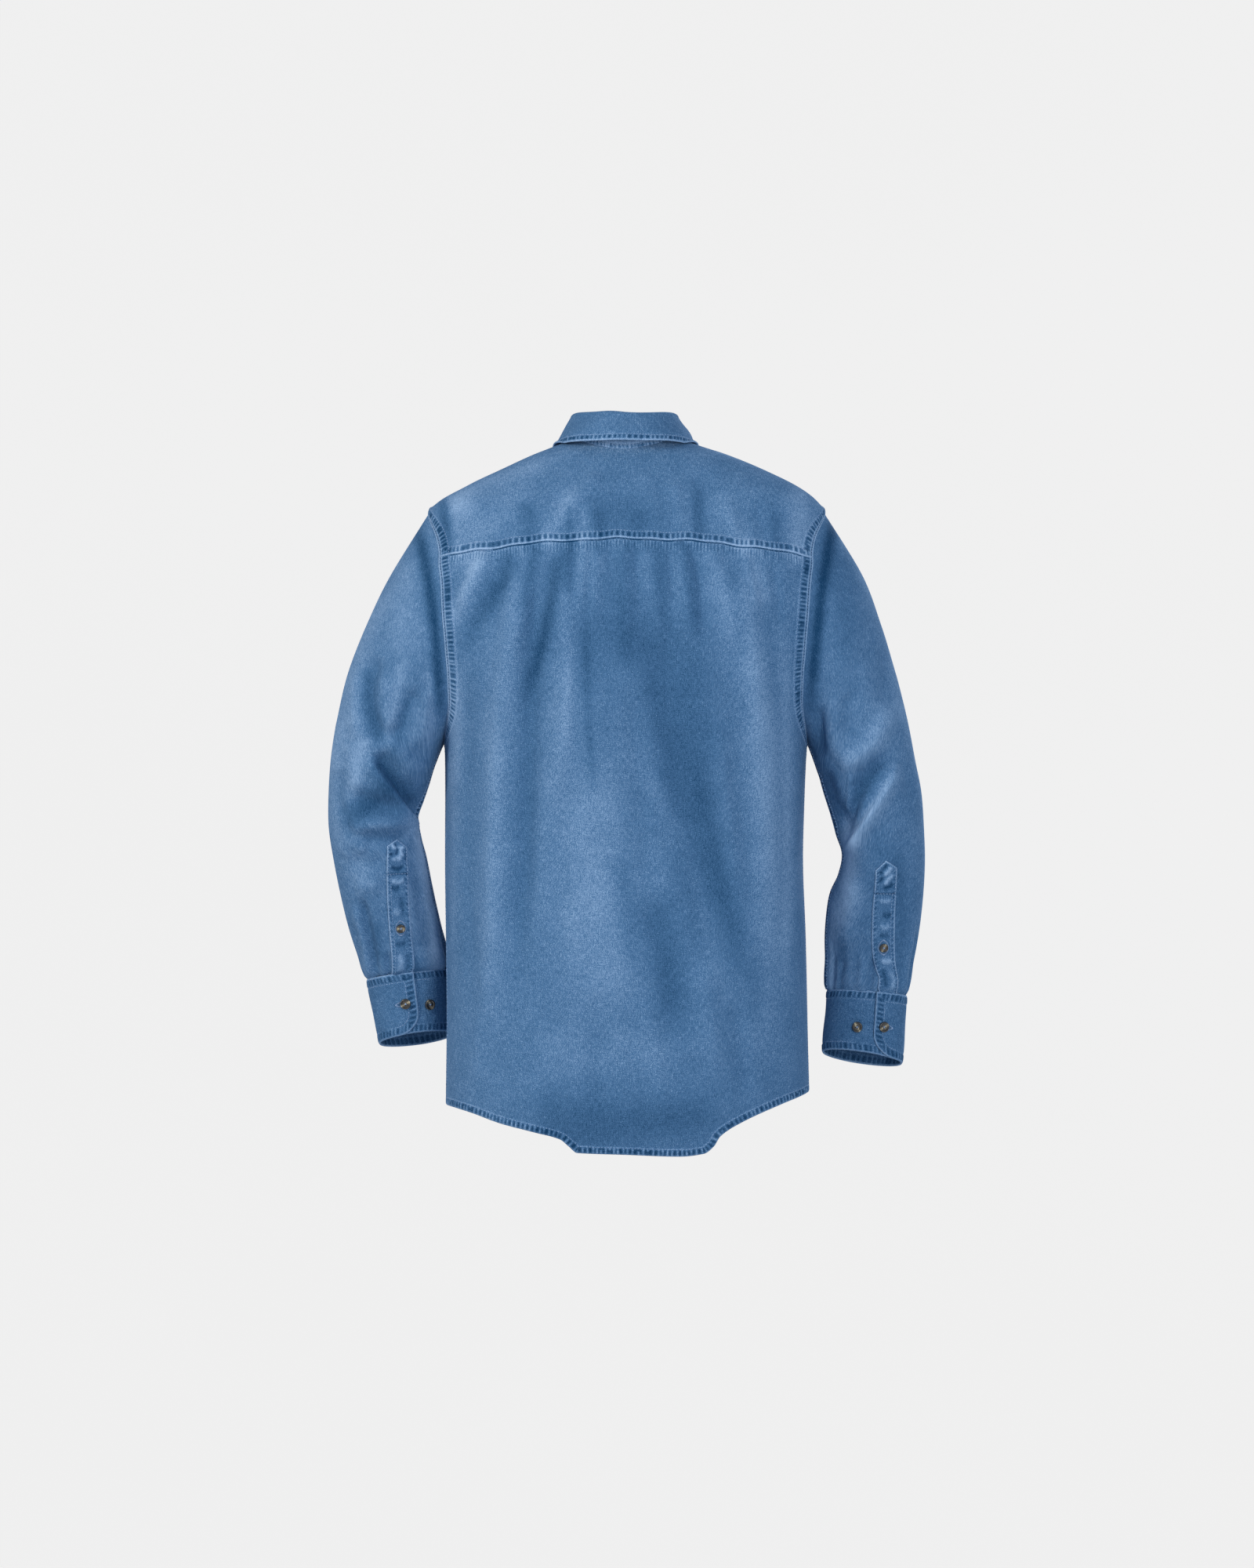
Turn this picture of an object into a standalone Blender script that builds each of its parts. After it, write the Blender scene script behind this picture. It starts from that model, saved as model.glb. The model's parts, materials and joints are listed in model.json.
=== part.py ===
"""A man's long-sleeved denim shirt, buttoned up and filled out as if worn, with no wearer.

The front faces -Y, the wearer's left is +X and up is +Z. The origin lies between the shoulders,
at the height of the seam at the back of the neck, where the wearer's shoulders hold the shirt.
Every panel is a wall of cloth cut along real seam lines: armholes, neckline, yoke, sides and hem.
Sizes are in millimetres up to the last step, where each mesh is scaled to metres.
"""

import math

import bmesh
import bpy
import numpy as np

MM = 0.001

# Cloth and sewing
CLOTH = 1.5  # one layer of denim
DOUBLED = 2.4  # collar, collar stand and cuffs are cut double
SEAM_GAP = 0.3  # between two panels that are sewn together
LAYER_GAP = 0.4  # between a layer or button and the cloth that it lies on
STRIP_GAP = 0.9  # between a sleeve placket and the sleeve

# Armholes: an oval seen from the side, the same on both sides
SHOULDER_TIP = -70.0
ARMPIT = -322.0
ARMHOLE_Y = -5.0
ARMHOLE_BACK = 85.0
ARMHOLE_FRONT = 88.0

# Neckline: an oval seen from above
NECK_Y = -7.0
NECK_HALF_WIDTH = 63.0
NECK_HALF_DEPTH = 60.0
NECK_CORNER = math.radians(-18.5)  # where the yoke's front seam meets the neckline

# Yoke seams
YOKE_MIDDLE = -101.0  # height of the back seam at the middle of the back
YOKE_END = -121.0  # and at the armholes
YOKE_FRONT_Y = -41.0  # how far in front of the shoulder line the front seam reaches the armhole

# Front opening
BAND_HALF_WIDTH = 16.0
BUTTON_SPACING = 95.0
FIRST_BUTTON = -120.0
BAND_BUTTONS = 6
BUTTON_RADIUS = 5.8
BUTTON_THICKNESS = 2.6

# Collar
STAND_TOP_X = 1.0
STAND_TOP_Y = -9.0
STAND_TOP_HALF_WIDTH = 53.0
STAND_TOP_HALF_DEPTH = 54.0
STAND_TOP_COLUMNS = ("turn_from_back_deg", "height")
STAND_TOP = (
    (0, 36.0),
    (45, 37.0),
    (90, 35.0),
    (120, 20.0),
    (150, -9.0),
    (170, -28.0),
    (180, -29.5),
)
LEAF_COLUMNS = ("turn_from_back_deg", "edge_x", "edge_y", "edge_z")
LEAF = (
    (0, 0.0, 67.0, 8.0),
    (30, 35.0, 61.0, 7.5),
    (60, 60.5, 41.0, 6.0),
    (84, 74.5, 12.0, 2.0),
    (105, 79.0, -16.0, -4.0),
    (125, 78.0, -42.0, -18.0),
    (145, 70.0, -64.0, -40.0),
    (162, 60.0, -80.0, -64.0),
    (172, 52.0, -89.0, -88.0),
)
LEAF_END = math.radians(172)  # how far round from the back the collar leaf goes
LEAF_CLEARANCE = (2.6, 4.4)  # from the trunk's cloth to the middle of the leaf: beside the neck, in front
LEAF_BULGE = 2.0

# Cuffs
CUFF_CORNER = 16.0
CUFF_UNDERLAP = math.radians(38)

# Grids: how many steps each panel has
SIDE_ROWS = 14
BACK_ARMHOLE_ROWS = 8
YOKE_ROWS = 6
FRONT_ARMHOLE_ROWS = 10
SHOULDER_COLUMNS = 11
BACK_NECK_COLUMNS = 14
CUFF_COLUMNS = 30

DENIM = ("denim", (0.094, 0.194, 0.413), 0.85)
DENIM_TRIM = ("denim_trim", (0.082, 0.172, 0.372), 0.85)
HORN = ("horn_button", (0.060, 0.045, 0.034), 0.35)

# The trunk, as level rings: its middle and half width, how far the cloth stands back and forward
# of the shoulder line, and how square the ring is
TORSO_COLUMNS = ("height", "middle_x", "half_width", "back", "front", "squareness")
TORSO = (
    (-800, -3.0, 200.0, 104, -118, 2.4),
    (-760, -2.8, 200.0, 118, -124, 2.4),
    (-716, -2.4, 199.5, 127, -129, 2.4),
    (-630, -1.8, 198.0, 129, -132, 2.4),
    (-540, -0.4, 197.5, 126, -133, 2.4),
    (-450, 1.6, 196.5, 123, -133, 2.4),
    (-400, 0.9, 197.0, 124, -133, 2.4),
    (-350, 0.0, 198.0, 128, -132, 2.4),
    (-322, -0.4, 199.5, 130, -131, 2.4),
    (-290, -0.2, 204.0, 132, -130, 2.4),
    (-258, 0.0, 214.0, 133, -128, 2.4),
    (-219, 0.0, 225.5, 133, -124, 2.4),
    (-181, 0.0, 230.5, 131, -118, 2.4),
    (-133, -0.5, 227.0, 124, -105, 2.35),
    (-113, -0.5, 221.5, 119, -98, 2.3),
    (-95, -0.6, 219.0, 112, -90, 2.25),
    (-80, -1.0, 218.5, 106, -82, 2.2),
    (-70, -1.4, 218.0, 101, -75, 2.2),
    (-59, -3.0, 209.0, 95, -66, 2.2),
    (-41, -7.0, 181.0, 84, -57, 2.15),
    (-24, -7.4, 146.0, 72, -49, 2.1),
    (-7, -5.2, 107.0, 59, -42, 2.05),
    (3, -2.5, 79.0, 50, -36, 2.0),
    (10, -1.0, 61.0, 43, -31, 2.0),
    (20, 0.0, 40.0, 34, -24, 2.0),
)

# The hem, from the wearer's left side seam to the right, across the back and across the front
HEM_BACK = (
    (205, -722),
    (192, -725),
    (171, -731),
    (137, -743),
    (102, -752),
    (72, -760),
    (62, -768),
    (53, -775),
    (0, -777),
    (-60, -779),
    (-86, -776),
    (-97, -768),
    (-104, -757),
    (-127, -742),
    (-174, -721),
    (-192, -714),
    (-205, -708),
)
HEM_FRONT = (
    (205, -722),
    (185, -724),
    (150, -737),
    (95, -757),
    (45, -764),
    (-45, -763),
    (-95, -754),
    (-150, -729),
    (-185, -712),
    (-205, -708),
)

# Sleeves, as rings from shoulder to cuff: where the outer and the inner edge of the ring lie seen
# from the back, the ring's middle and half size front to back, and how far its back edge tips up
RING_COLUMNS = (
    "outer_x",
    "outer_z",
    "inner_x",
    "inner_z",
    "middle_y",
    "half_depth",
    "tip_deg",
)
LEFT_RINGS = (
    (257, -136, 204.0, -332, -4, 78, 0),
    (285, -193, 208.0, -342, -3, 71, 0),
    (306, -247, 212.5, -354, -4, 65, 0),
    (318, -297, 217.0, -369, -7, 61, 0),
    (325, -340, 223.0, -388, -12, 59, 0),
    (328, -379, 229.5, -410, -18, 57, 0),
    (328, -417, 226.5, -430, -24, 54, 0),
    (323, -452, 221.0, -450, -29, 51, 0),
    (315, -493, 214.0, -485, -37, 47, 0),
    (305, -534, 205.5, -524, -46, 43, 1),
    (294, -567, 197.5, -554, -54, 40, 3),
    (285, -587, 194.5, -576, -59, 37, 5),
)
RIGHT_RINGS = (
    (-260, -137, -204.5, -334, -4, 78, 0),
    (-282, -194, -209.0, -346, -3, 71, 0),
    (-298, -247, -214.0, -361, -4, 65, 0),
    (-311, -298, -219.0, -379, -7, 61, 0),
    (-320, -344, -226.0, -401, -11, 58, 0),
    (-327, -380, -232.5, -424, -16, 55, 0),
    (-330, -422, -240.0, -447, -22, 52, 0),
    (-331, -457, -236.0, -470, -27, 50, 0),
    (-329, -496, -226.0, -494, -34, 46, 0),
    (-324, -539, -221.5, -533, -42, 42, 1),
    (-317, -576, -222.0, -571, -50, 39, 3),
    (-310, -605, -223.0, -599, -55, 37, 5),
)
LEFT_CUFF_FOOT = (271.5, -658, 190.5, -647, -68, 38, 11)
RIGHT_CUFF_FOOT = (-305.0, -680, -218.0, -667, -63, 38, 11)

# Where each cuff's upper end lies round the wrist, from the outer side towards the back
LEFT_CUFF_END = math.radians(97)
RIGHT_CUFF_END = math.radians(76)

# Sleeve plackets: the ring and the turn at the point and at the cuff
LEFT_PLACKET = ((7.2, math.radians(120)), (12.0, math.radians(81)))
RIGHT_PLACKET = ((7.7, math.radians(87)), (12.0, math.radians(61)))
PLACKET_HALF_WIDTH = 11.5
PLACKET_POINT = 11.0

# Sleeve buttons: on the cuff, the turn from its upper end and the share of its height down from the
# sleeve; on the placket, the share of its length and the distance across from its middle
CUFF_BUTTON_COLUMNS = ("turn_from_end_deg", "down")
LEFT_CUFF_BUTTONS = ((-16.5, 0.50), (18.5, 0.56))
RIGHT_CUFF_BUTTONS = ((-14.0, 0.54), (23.5, 0.60))
LEFT_PLACKET_BUTTON = (0.41, 0.5)
RIGHT_PLACKET_BUTTON = (0.38, 3.5)

# Folds: a soft ridge (or, with a negative height, a trough) along a curve from its start over its
# middle to its end, seen from the back or the front
FOLD_COLUMNS = (
    "start_x",
    "start_z",
    "middle_x",
    "middle_z",
    "end_x",
    "end_z",
    "width",
    "height",
)
BACK_FOLDS = (
    (150, -114, 164, -142, 186, -184, 9, 4.5),
    (132, -128, 150, -170, 176, -216, 10, -4.0),
    (112, -112, 142, -370, 148, -672, 14, 6.5),
    (96, -112, 104, -300, 122, -650, 12, -6.0),
    (62, -108, 66, -250, 74, -420, 12, 4.5),
    (44, -104, 46, -145, 50, -210, 8, 2.5),
    (30, -103, 33, -150, 34, -210, 8, 2.5),
    (4, -102, 1, -150, -4, -215, 8, 3.0),
    (-30, -103, -34, -165, -38, -250, 10, 2.5),
    (-58, -104, -66, -160, -74, -225, 9, 3.5),
    (-92, -106, -106, -150, -118, -230, 11, 3.5),
    (-28, -140, -64, -360, -118, -590, 26, -7.0),
    (-24, -490, -44, -560, -60, -670, 16, -3.5),
    (34, -200, 30, -430, 12, -690, 46, 7.0),
    (-118, -116, -146, -280, -160, -590, 17, 6.5),
    (-86, -560, -92, -625, -104, -700, 13, 3.0),
)
YOKE_FOLDS = (
    (24, -26, 56, -60, 92, -100, 10, 3.0),
    (-82, -22, -86, -62, -88, -101, 13, -3.0),
    (40, -55, 36, -80, 34, -102, 9, 2.0),
)
FRONT_FOLDS = (
    (165, -110, 140, -230, 128, -420, 17, 5.5),
    (92, -150, 84, -330, 96, -620, 19, 5.5),
    (128, -430, 140, -560, 158, -700, 15, 4.5),
    (52, -420, 60, -560, 74, -730, 16, 3.5),
    (-160, -105, -138, -240, -118, -450, 17, 5.5),
    (-88, -170, -94, -340, -84, -560, 19, 5.0),
    (-140, -400, -152, -540, -166, -680, 16, 4.5),
    (-54, -500, -66, -620, -78, -735, 15, 3.5),
    (120, -80, 118, -140, 104, -215, 13, -3.0),
    (-118, -80, -116, -150, -100, -230, 13, -3.0),
)
LEFT_SLEEVE_BACK_FOLDS = (
    (275, -335, 258, -372, 232, -404, 9, -8.0),
    (262, -322, 246, -346, 226, -372, 11, 5.0),
    (300, -425, 272, -416, 246, -416, 13, 5.0),
    (284, -232, 283, -280, 262, -330, 9, -3.0),
    (242, -262, 254, -300, 259, -330, 9, -3.0),
    (288, -500, 281, -545, 271, -584, 7, -4.0),
)
RIGHT_SLEEVE_BACK_FOLDS = (
    (-243, -446, -276, -398, -306, -342, 10, 6.5),
    (-236, -426, -262, -376, -298, -334, 11, -6.5),
    (-226, -350, -262, -342, -292, -292, 12, 5.0),
    (-215, -350, -224, -385, -238, -424, 9, -4.0),
    (-250, -482, -248, -505, -244, -530, 10, 3.0),
    (-309, -520, -311, -560, -306, -600, 7, -4.0),
)
LEFT_SLEEVE_FRONT_FOLDS = (
    (232, -412, 262, -392, 300, -352, 11, 5.5),
    (236, -430, 268, -420, 302, -392, 10, -5.0),
    (280, -210, 270, -270, 246, -330, 12, -3.5),
    (300, -470, 284, -510, 274, -560, 10, 3.0),
)
RIGHT_SLEEVE_FRONT_FOLDS = (
    (-240, -440, -270, -415, -305, -370, 11, 5.5),
    (-244, -462, -274, -448, -308, -420, 10, -5.0),
    (-284, -220, -272, -290, -246, -352, 12, -3.5),
    (-306, -490, -290, -540, -276, -580, 10, 3.0),
)


# Curves and vectors


def columns_of(table):
    """The table's columns as arrays."""
    return np.array(table, float).T


def smooth_line(knots, values):
    """A smooth line through the values, with no overshoot. Returns a function of the knots' measure."""
    order = np.argsort(knots)
    knots = np.asarray(knots, float)[order]
    values = np.asarray(values, float)[order]
    steps = np.diff(knots)
    steps = steps.reshape(-1, *[1] * (values.ndim - 1))
    rises = np.diff(values, axis=0) / steps
    slopes = np.zeros_like(values)
    before, after = rises[:-1], rises[1:]
    with np.errstate(divide="ignore", invalid="ignore"):
        harmonic = 2 * before * after / (before + after)
    slopes[1:-1] = np.where(before * after > 0, harmonic, 0)
    slopes[0], slopes[-1] = rises[0], rises[-1]

    def at(measure):
        measure = np.clip(np.asarray(measure, float), knots[0], knots[-1])
        cell = np.clip(np.searchsorted(knots, measure) - 1, 0, len(knots) - 2)
        step = knots[cell + 1] - knots[cell]
        share = (measure - knots[cell]) / step
        share = share.reshape(share.shape + (1,) * (values.ndim - 1))
        step = step.reshape(share.shape)
        left = values[cell] * (1 + 2 * share) + slopes[cell] * share * step
        right = values[cell + 1] * (3 - 2 * share) - slopes[cell + 1] * (1 - share) * step
        return left * (1 - share) ** 2 + right * share**2

    return at


def ease(start, end, value):
    """0 before start, 1 after end, and a smooth rise between."""
    share = np.clip((value - start) / (end - start), 0, 1)
    return share * share * (3 - 2 * share)


def unit(vectors):
    return vectors / np.maximum(np.linalg.norm(vectors, axis=-1, keepdims=True), 1e-9)


def point_of(x, y, z):
    return np.stack(np.broadcast_arrays(x, y, z), axis=-1).astype(float)


def fold_height(x, z, folds):
    """How far the folds lift the cloth at points seen from the back or the front."""
    lift = np.zeros(np.shape(x))
    share = np.linspace(0, 1, 13)
    for start_x, start_z, middle_x, middle_z, end_x, end_z, width, height in folds:
        line_x = smooth_line((0, 0.5, 1), (start_x, middle_x, end_x))(share)
        line_z = smooth_line((0, 0.5, 1), (start_z, middle_z, end_z))(share)
        nearest = np.full(np.shape(x), 1e9)
        place = np.zeros(np.shape(x))
        for i in range(len(share) - 1):
            run_x, run_z = line_x[i + 1] - line_x[i], line_z[i + 1] - line_z[i]
            along = ((x - line_x[i]) * run_x + (z - line_z[i]) * run_z) / (run_x**2 + run_z**2)
            along = np.clip(along, 0, 1)
            away = np.hypot(x - line_x[i] - along * run_x, z - line_z[i] - along * run_z)
            closer = away < nearest
            nearest = np.where(closer, away, nearest)
            place = np.where(closer, share[i] + along / (len(share) - 1), place)
        fade = ease(0, 0.2, place) * (1 - ease(0.75, 1, place))
        lift += height * fade * np.exp(-((nearest / width) ** 2))
    return lift


# The trunk's form

middle_x_at, half_width_at, back_at, front_at, squareness_at = (
    smooth_line(columns_of(TORSO)[0], column) for column in columns_of(TORSO)[1:]
)
hem_back_at = smooth_line(*columns_of(HEM_BACK))
hem_front_at = smooth_line(*columns_of(HEM_FRONT))


def middle_y_at(z):
    return (back_at(z) + front_at(z)) / 2


def half_depth_at(z):
    return (back_at(z) - front_at(z)) / 2


def torso_level(points):
    """0 on the cloth, negative inside the trunk and positive outside."""
    x, y, z = points[..., 0], points[..., 1], points[..., 2]
    power = squareness_at(z)
    across = (np.abs(x - middle_x_at(z)) / half_width_at(z)) ** power
    deep = (np.abs(y - middle_y_at(z)) / half_depth_at(z)) ** power
    return (across + deep) ** (1 / power) - 1


def torso_slope(points):
    reach = 0.5
    steps = np.eye(3) * reach
    return np.stack(
        [(torso_level(points + s) - torso_level(points - s)) / (2 * reach) for s in steps], axis=-1
    )


def torso_normal(points):
    return unit(torso_slope(points))


def onto_torso(points):
    """Moves points to the nearest cloth of the trunk."""
    for _ in range(8):
        slope = torso_slope(points)
        points = points - (torso_level(points) / (slope**2).sum(-1))[..., None] * slope
    return points


def torso_ring_point(turn, z):
    """The cloth at a level, in the direction of turn: 0 is the wearer's left and a quarter is back."""
    power = squareness_at(z)
    across = (np.abs(np.cos(turn)) / half_width_at(z)) ** power
    deep = (np.abs(np.sin(turn)) / half_depth_at(z)) ** power
    radius = (across + deep) ** (-1 / power)
    x, y = radius * np.cos(turn), radius * np.sin(turn)
    return point_of(middle_x_at(z) + x, middle_y_at(z) + y, z)


def torso_at_x(x, z, face):
    """The cloth at a level and a distance from the middle. face is 1 for back and -1 for front."""
    power = squareness_at(z)
    across = np.clip(np.abs(x - middle_x_at(z)) / half_width_at(z), 0, 1)
    deep = (1 - across**power) ** (1 / power)
    return point_of(x, middle_y_at(z) + face * half_depth_at(z) * deep, z)


def torso_at_y(y, z, side):
    power = squareness_at(z)
    across = (1 - (np.abs(y - middle_y_at(z)) / half_depth_at(z)) ** power) ** (1 / power)
    return point_of(middle_x_at(z) + side * half_width_at(z) * across, y, z)


def torso_under(x, y):
    """The cloth of the shoulders straight above or below a place in the plan."""
    low, high = np.full(np.shape(x), -112.0), np.full(np.shape(x), 19.0)
    for _ in range(40):
        middle = (low + high) / 2
        outside = torso_level(point_of(x, y, middle)) > 0
        high = np.where(outside, middle, high)
        low = np.where(outside, low, middle)
    return point_of(x, y, (low + high) / 2)


def torso_folds(points):
    """How far the trunk's folds lift the cloth, fading out at the armholes and side seams."""
    x, y, z = points[..., 0], points[..., 1], points[..., 2]
    round_armhole = np.hypot(
        (z - (SHOULDER_TIP + ARMPIT) / 2) / ((SHOULDER_TIP - ARMPIT) / 2),
        (y - ARMHOLE_Y) / np.where(y > ARMHOLE_Y, ARMHOLE_BACK, ARMHOLE_FRONT),
    )
    clear = ease(1.0, 1.22, round_armhole)
    rear, fore = ease(5, 45, y), ease(5, 45, -y)
    below_yoke = fold_height(x, z, BACK_FOLDS)
    lift = rear * (below_yoke + fold_height(x, z, YOKE_FOLDS))
    return clear * (lift + fore * fold_height(x, z, FRONT_FOLDS))


# Seam lines


def armhole_turn_at(z):
    middle, half = (SHOULDER_TIP + ARMPIT) / 2, (SHOULDER_TIP - ARMPIT) / 2
    return math.acos((z - middle) / half)


def armhole_point(turn, side):
    """The armhole seam. turn is 0 at the shoulder tip and goes over the back to the armpit."""
    middle, half = (SHOULDER_TIP + ARMPIT) / 2, (SHOULDER_TIP - ARMPIT) / 2
    reach = np.where(np.sin(turn) > 0, ARMHOLE_BACK, ARMHOLE_FRONT)
    return torso_at_y(ARMHOLE_Y + reach * np.sin(turn), middle + half * np.cos(turn), side)


YOKE_BACK_TURN = armhole_turn_at(YOKE_END)
YOKE_FRONT_TURN = -math.asin((ARMHOLE_Y - YOKE_FRONT_Y) / ARMHOLE_FRONT)
BACK_TURNS = np.linspace(math.pi, YOKE_BACK_TURN, BACK_ARMHOLE_ROWS + 1)
YOKE_TURNS = np.linspace(YOKE_BACK_TURN, YOKE_FRONT_TURN, YOKE_ROWS + 1)
FRONT_TURNS = np.linspace(-math.pi, YOKE_FRONT_TURN, FRONT_ARMHOLE_ROWS + 1)
SLEEVE_RINGS = np.concatenate([[0, 0.25], np.linspace(0.6, 12, 18)])
SLEEVE_TURNS = np.concatenate([FRONT_TURNS[:-1], YOKE_TURNS[::-1][:-1], BACK_TURNS[::-1][:-1]])


def neck_point(turn):
    """The neckline seam. turn is 0 at the wearer's left and a quarter at the back."""
    return torso_under(
        NECK_HALF_WIDTH * np.cos(turn), NECK_Y + NECK_HALF_DEPTH * np.sin(turn)
    )


def yoke_back_seam(share):
    """From the wearer's left armhole, at share 0, to the right one."""
    left, right = (armhole_point(YOKE_BACK_TURN, side)[0] for side in (1, -1))
    z = YOKE_MIDDLE + (YOKE_END - YOKE_MIDDLE) * (2 * share - 1) ** 2
    return torso_at_x(left + (right - left) * share, z, 1)


def yoke_front_seam(share, side):
    """From the armhole, at share 0, to the neckline."""
    start = armhole_point(YOKE_FRONT_TURN, side)
    end_x = side * NECK_HALF_WIDTH * math.cos(NECK_CORNER)
    end_y = NECK_Y + NECK_HALF_DEPTH * math.sin(NECK_CORNER)
    x = start[0] + (end_x - start[0]) * share
    y = start[1] + (end_y - start[1]) * share
    return torso_under(x, y)


def hem_point(turn, face):
    """The hem where the trunk is seen in the direction of turn, on the back or the front."""
    hem_at = hem_back_at if face > 0 else hem_front_at
    z = np.full(np.shape(turn), -740.0)
    for _ in range(6):
        z = hem_at(torso_ring_point(turn, z)[..., 0])
    return torso_ring_point(turn, z)


def side_edge(side, turns):
    """The side seam from the hem up to the armpit, and on up the armhole along turns."""
    turn = 0.0 if side > 0 else math.pi
    foot = hem_point(np.array(turn), 1)[2]
    z = np.linspace(foot, ARMPIT, SIDE_ROWS + 1)[:-1]
    seam = torso_at_y(middle_y_at(z), z, side)
    return np.concatenate([seam, armhole_point(turns, side)])


# Walls of cloth


def blend(bottom, top, left, right, pull):
    """A grid of values between four lines. A higher pull keeps the curves of bottom and top nearer."""
    u = np.linspace(0, 1, len(bottom))[None, :, None]
    v = np.linspace(0, 1, len(left))[:, None, None]
    across = (1 - u) * left[:, None] + u * right[:, None]
    bottom_bend = bottom[None] - across[:1]
    top_bend = top[None] - across[-1:]
    return across + (1 - v) ** pull * bottom_bend + v**pull * top_bend


def panel_grid(bottom, top, left, right, facing):
    """A panel of the trunk between four seam lines, laid out in the turn round the trunk and height.
    facing is the turn that the panel's middle faces."""
    lines = []
    for line in (bottom, top, left, right):
        x, y, z = line.T
        turn = np.arctan2(y - middle_y_at(z), x - middle_x_at(z))
        turn = facing + np.angle(np.exp(1j * (turn - facing)))
        lines.append(np.stack([turn, z], axis=-1))
    flat = blend(*lines, pull=2)
    grid = torso_ring_point(flat[..., 0], flat[..., 1])
    grid[0], grid[-1], grid[:, 0], grid[:, -1] = bottom, top, left, right
    return grid


def trimmed(grid, gap, wrapped=False):
    """The grid with its edges pulled in by a gap, square to each edge, for the seam."""
    normals = grid_normals(grid, wrapped)
    inward = np.zeros(grid.shape)
    edges = [(0, 1, 1), (-1, -2, 1)] + ([] if wrapped else [(0, 1, 0), (-1, -2, 0)])
    for edge, within, rows_first in edges:
        line, beside, normal = (
            (g[i] if rows_first else g[:, i]) for g, i in ((grid, edge), (grid, within), (normals, edge))
        )
        if wrapped:
            run = np.roll(line, -1, axis=0) - np.roll(line, 1, axis=0)
        else:
            run = np.gradient(line, axis=0)
        square = unit(np.cross(normal, run))
        square *= np.sign((square * (beside - line)).sum(-1, keepdims=True))
        target = inward[edge] if rows_first else inward[:, edge]
        target += square * gap
    return grid + inward


def grid_normals(grid, wrapped=False):
    """Normals of a grid whose rows go up and whose columns go anticlockwise seen from above."""
    if wrapped:
        across = np.roll(grid, -1, axis=1) - np.roll(grid, 1, axis=1)
    else:
        across = np.gradient(grid, axis=1)
    return unit(np.cross(across, np.gradient(grid, axis=0)))


def material_for(finish):
    name, colour, roughness = finish
    found = bpy.data.materials.get(name)
    if found:
        return found
    made = bpy.data.materials.new(name)
    made.use_nodes = True
    shader = made.node_tree.nodes["Principled BSDF"]
    shader.inputs["Base Color"].default_value = (*colour, 1)
    shader.inputs["Roughness"].default_value = roughness
    shader.inputs["Metallic"].default_value = 0
    return made


def add_piece(name, mesh_builder, finish):
    """Links one named piece, with its mesh in metres."""
    mesh = bpy.data.meshes.new(name)
    bmesh.ops.scale(mesh_builder, vec=(MM, MM, MM), verts=mesh_builder.verts)
    bmesh.ops.recalc_face_normals(mesh_builder, faces=mesh_builder.faces)
    mesh_builder.to_mesh(mesh)
    mesh_builder.free()
    mesh.shade_smooth()
    mesh.set_sharp_from_angle(angle=math.radians(50))
    mesh.materials.append(material_for(finish))
    piece = bpy.data.objects.new(name, mesh)
    bpy.context.scene.collection.objects.link(piece)
    return piece


def add_wall(name, outer, inner, finish, wrapped=False):
    """A closed wall of cloth between an outer and an inner grid of points."""
    rows, columns = outer.shape[:2]
    builder = bmesh.new()
    skins = [[[builder.verts.new(p) for p in row] for row in skin] for skin in (outer, inner)]
    last = columns if wrapped else columns - 1
    for i in range(rows - 1):
        for j in range(last):
            k = (j + 1) % columns
            for skin in skins:
                builder.faces.new((skin[i][j], skin[i][k], skin[i + 1][k], skin[i + 1][j]))
    out, within = skins
    for j in range(last):
        k = (j + 1) % columns
        builder.faces.new((out[0][j], out[0][k], within[0][k], within[0][j]))
        builder.faces.new((out[-1][j], out[-1][k], within[-1][k], within[-1][j]))
    if not wrapped:
        for i in range(rows - 1):
            builder.faces.new((out[i][0], out[i + 1][0], within[i + 1][0], within[i][0]))
            builder.faces.new((out[i][-1], out[i + 1][-1], within[i + 1][-1], within[i][-1]))
    return add_piece(name, builder, finish)


# Sleeves


def rings_of(side):
    return LEFT_RINGS if side > 0 else RIGHT_RINGS


def ring_frame(row):
    """Middle, outward half axis and backward half axis of a ring of the table."""
    outer_x, outer_z, inner_x, inner_z, middle_y, half_depth, tip = row
    outer, inner = np.array([outer_x, 0, outer_z]), np.array([inner_x, 0, inner_z])
    middle = (outer + inner) / 2 + np.array([0, middle_y, 0])
    tip = math.radians(tip)
    return middle, (outer - inner) / 2, half_depth * np.array([0, math.cos(tip), math.sin(tip)])


def sleeve_form(side, ring, turn):
    """The sleeve with no folds. ring is 0 at the armhole, and turn 0 lies on the outer side."""
    shape = np.broadcast(ring, turn).shape
    ring = np.broadcast_to(np.asarray(ring, float), shape).ravel()
    turn = np.broadcast_to(np.asarray(turn, float), shape).ravel()
    stations = [armhole_point(turn, side)]
    for row in rings_of(side):
        middle, outward, backward = ring_frame(row)
        stations.append(middle + np.cos(turn)[:, None] * outward + np.sin(turn)[:, None] * backward)
    stations = np.stack(stations)
    pick = np.arange(len(turn))
    cell = np.clip(ring.astype(int), 0, len(stations) - 2)
    share = (ring - cell)[:, None]
    points = [stations[np.clip(cell + k, 0, len(stations) - 1), pick] for k in (-1, 0, 1, 2)]
    before, start, end, after = points
    leave, arrive = (end - before) / 2, (after - start) / 2
    left = start * (1 + 2 * share) + leave * share
    right = end * (3 - 2 * share) - arrive * (1 - share)
    return (left * (1 - share) ** 2 + right * share**2).reshape(*shape, 3)


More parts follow.
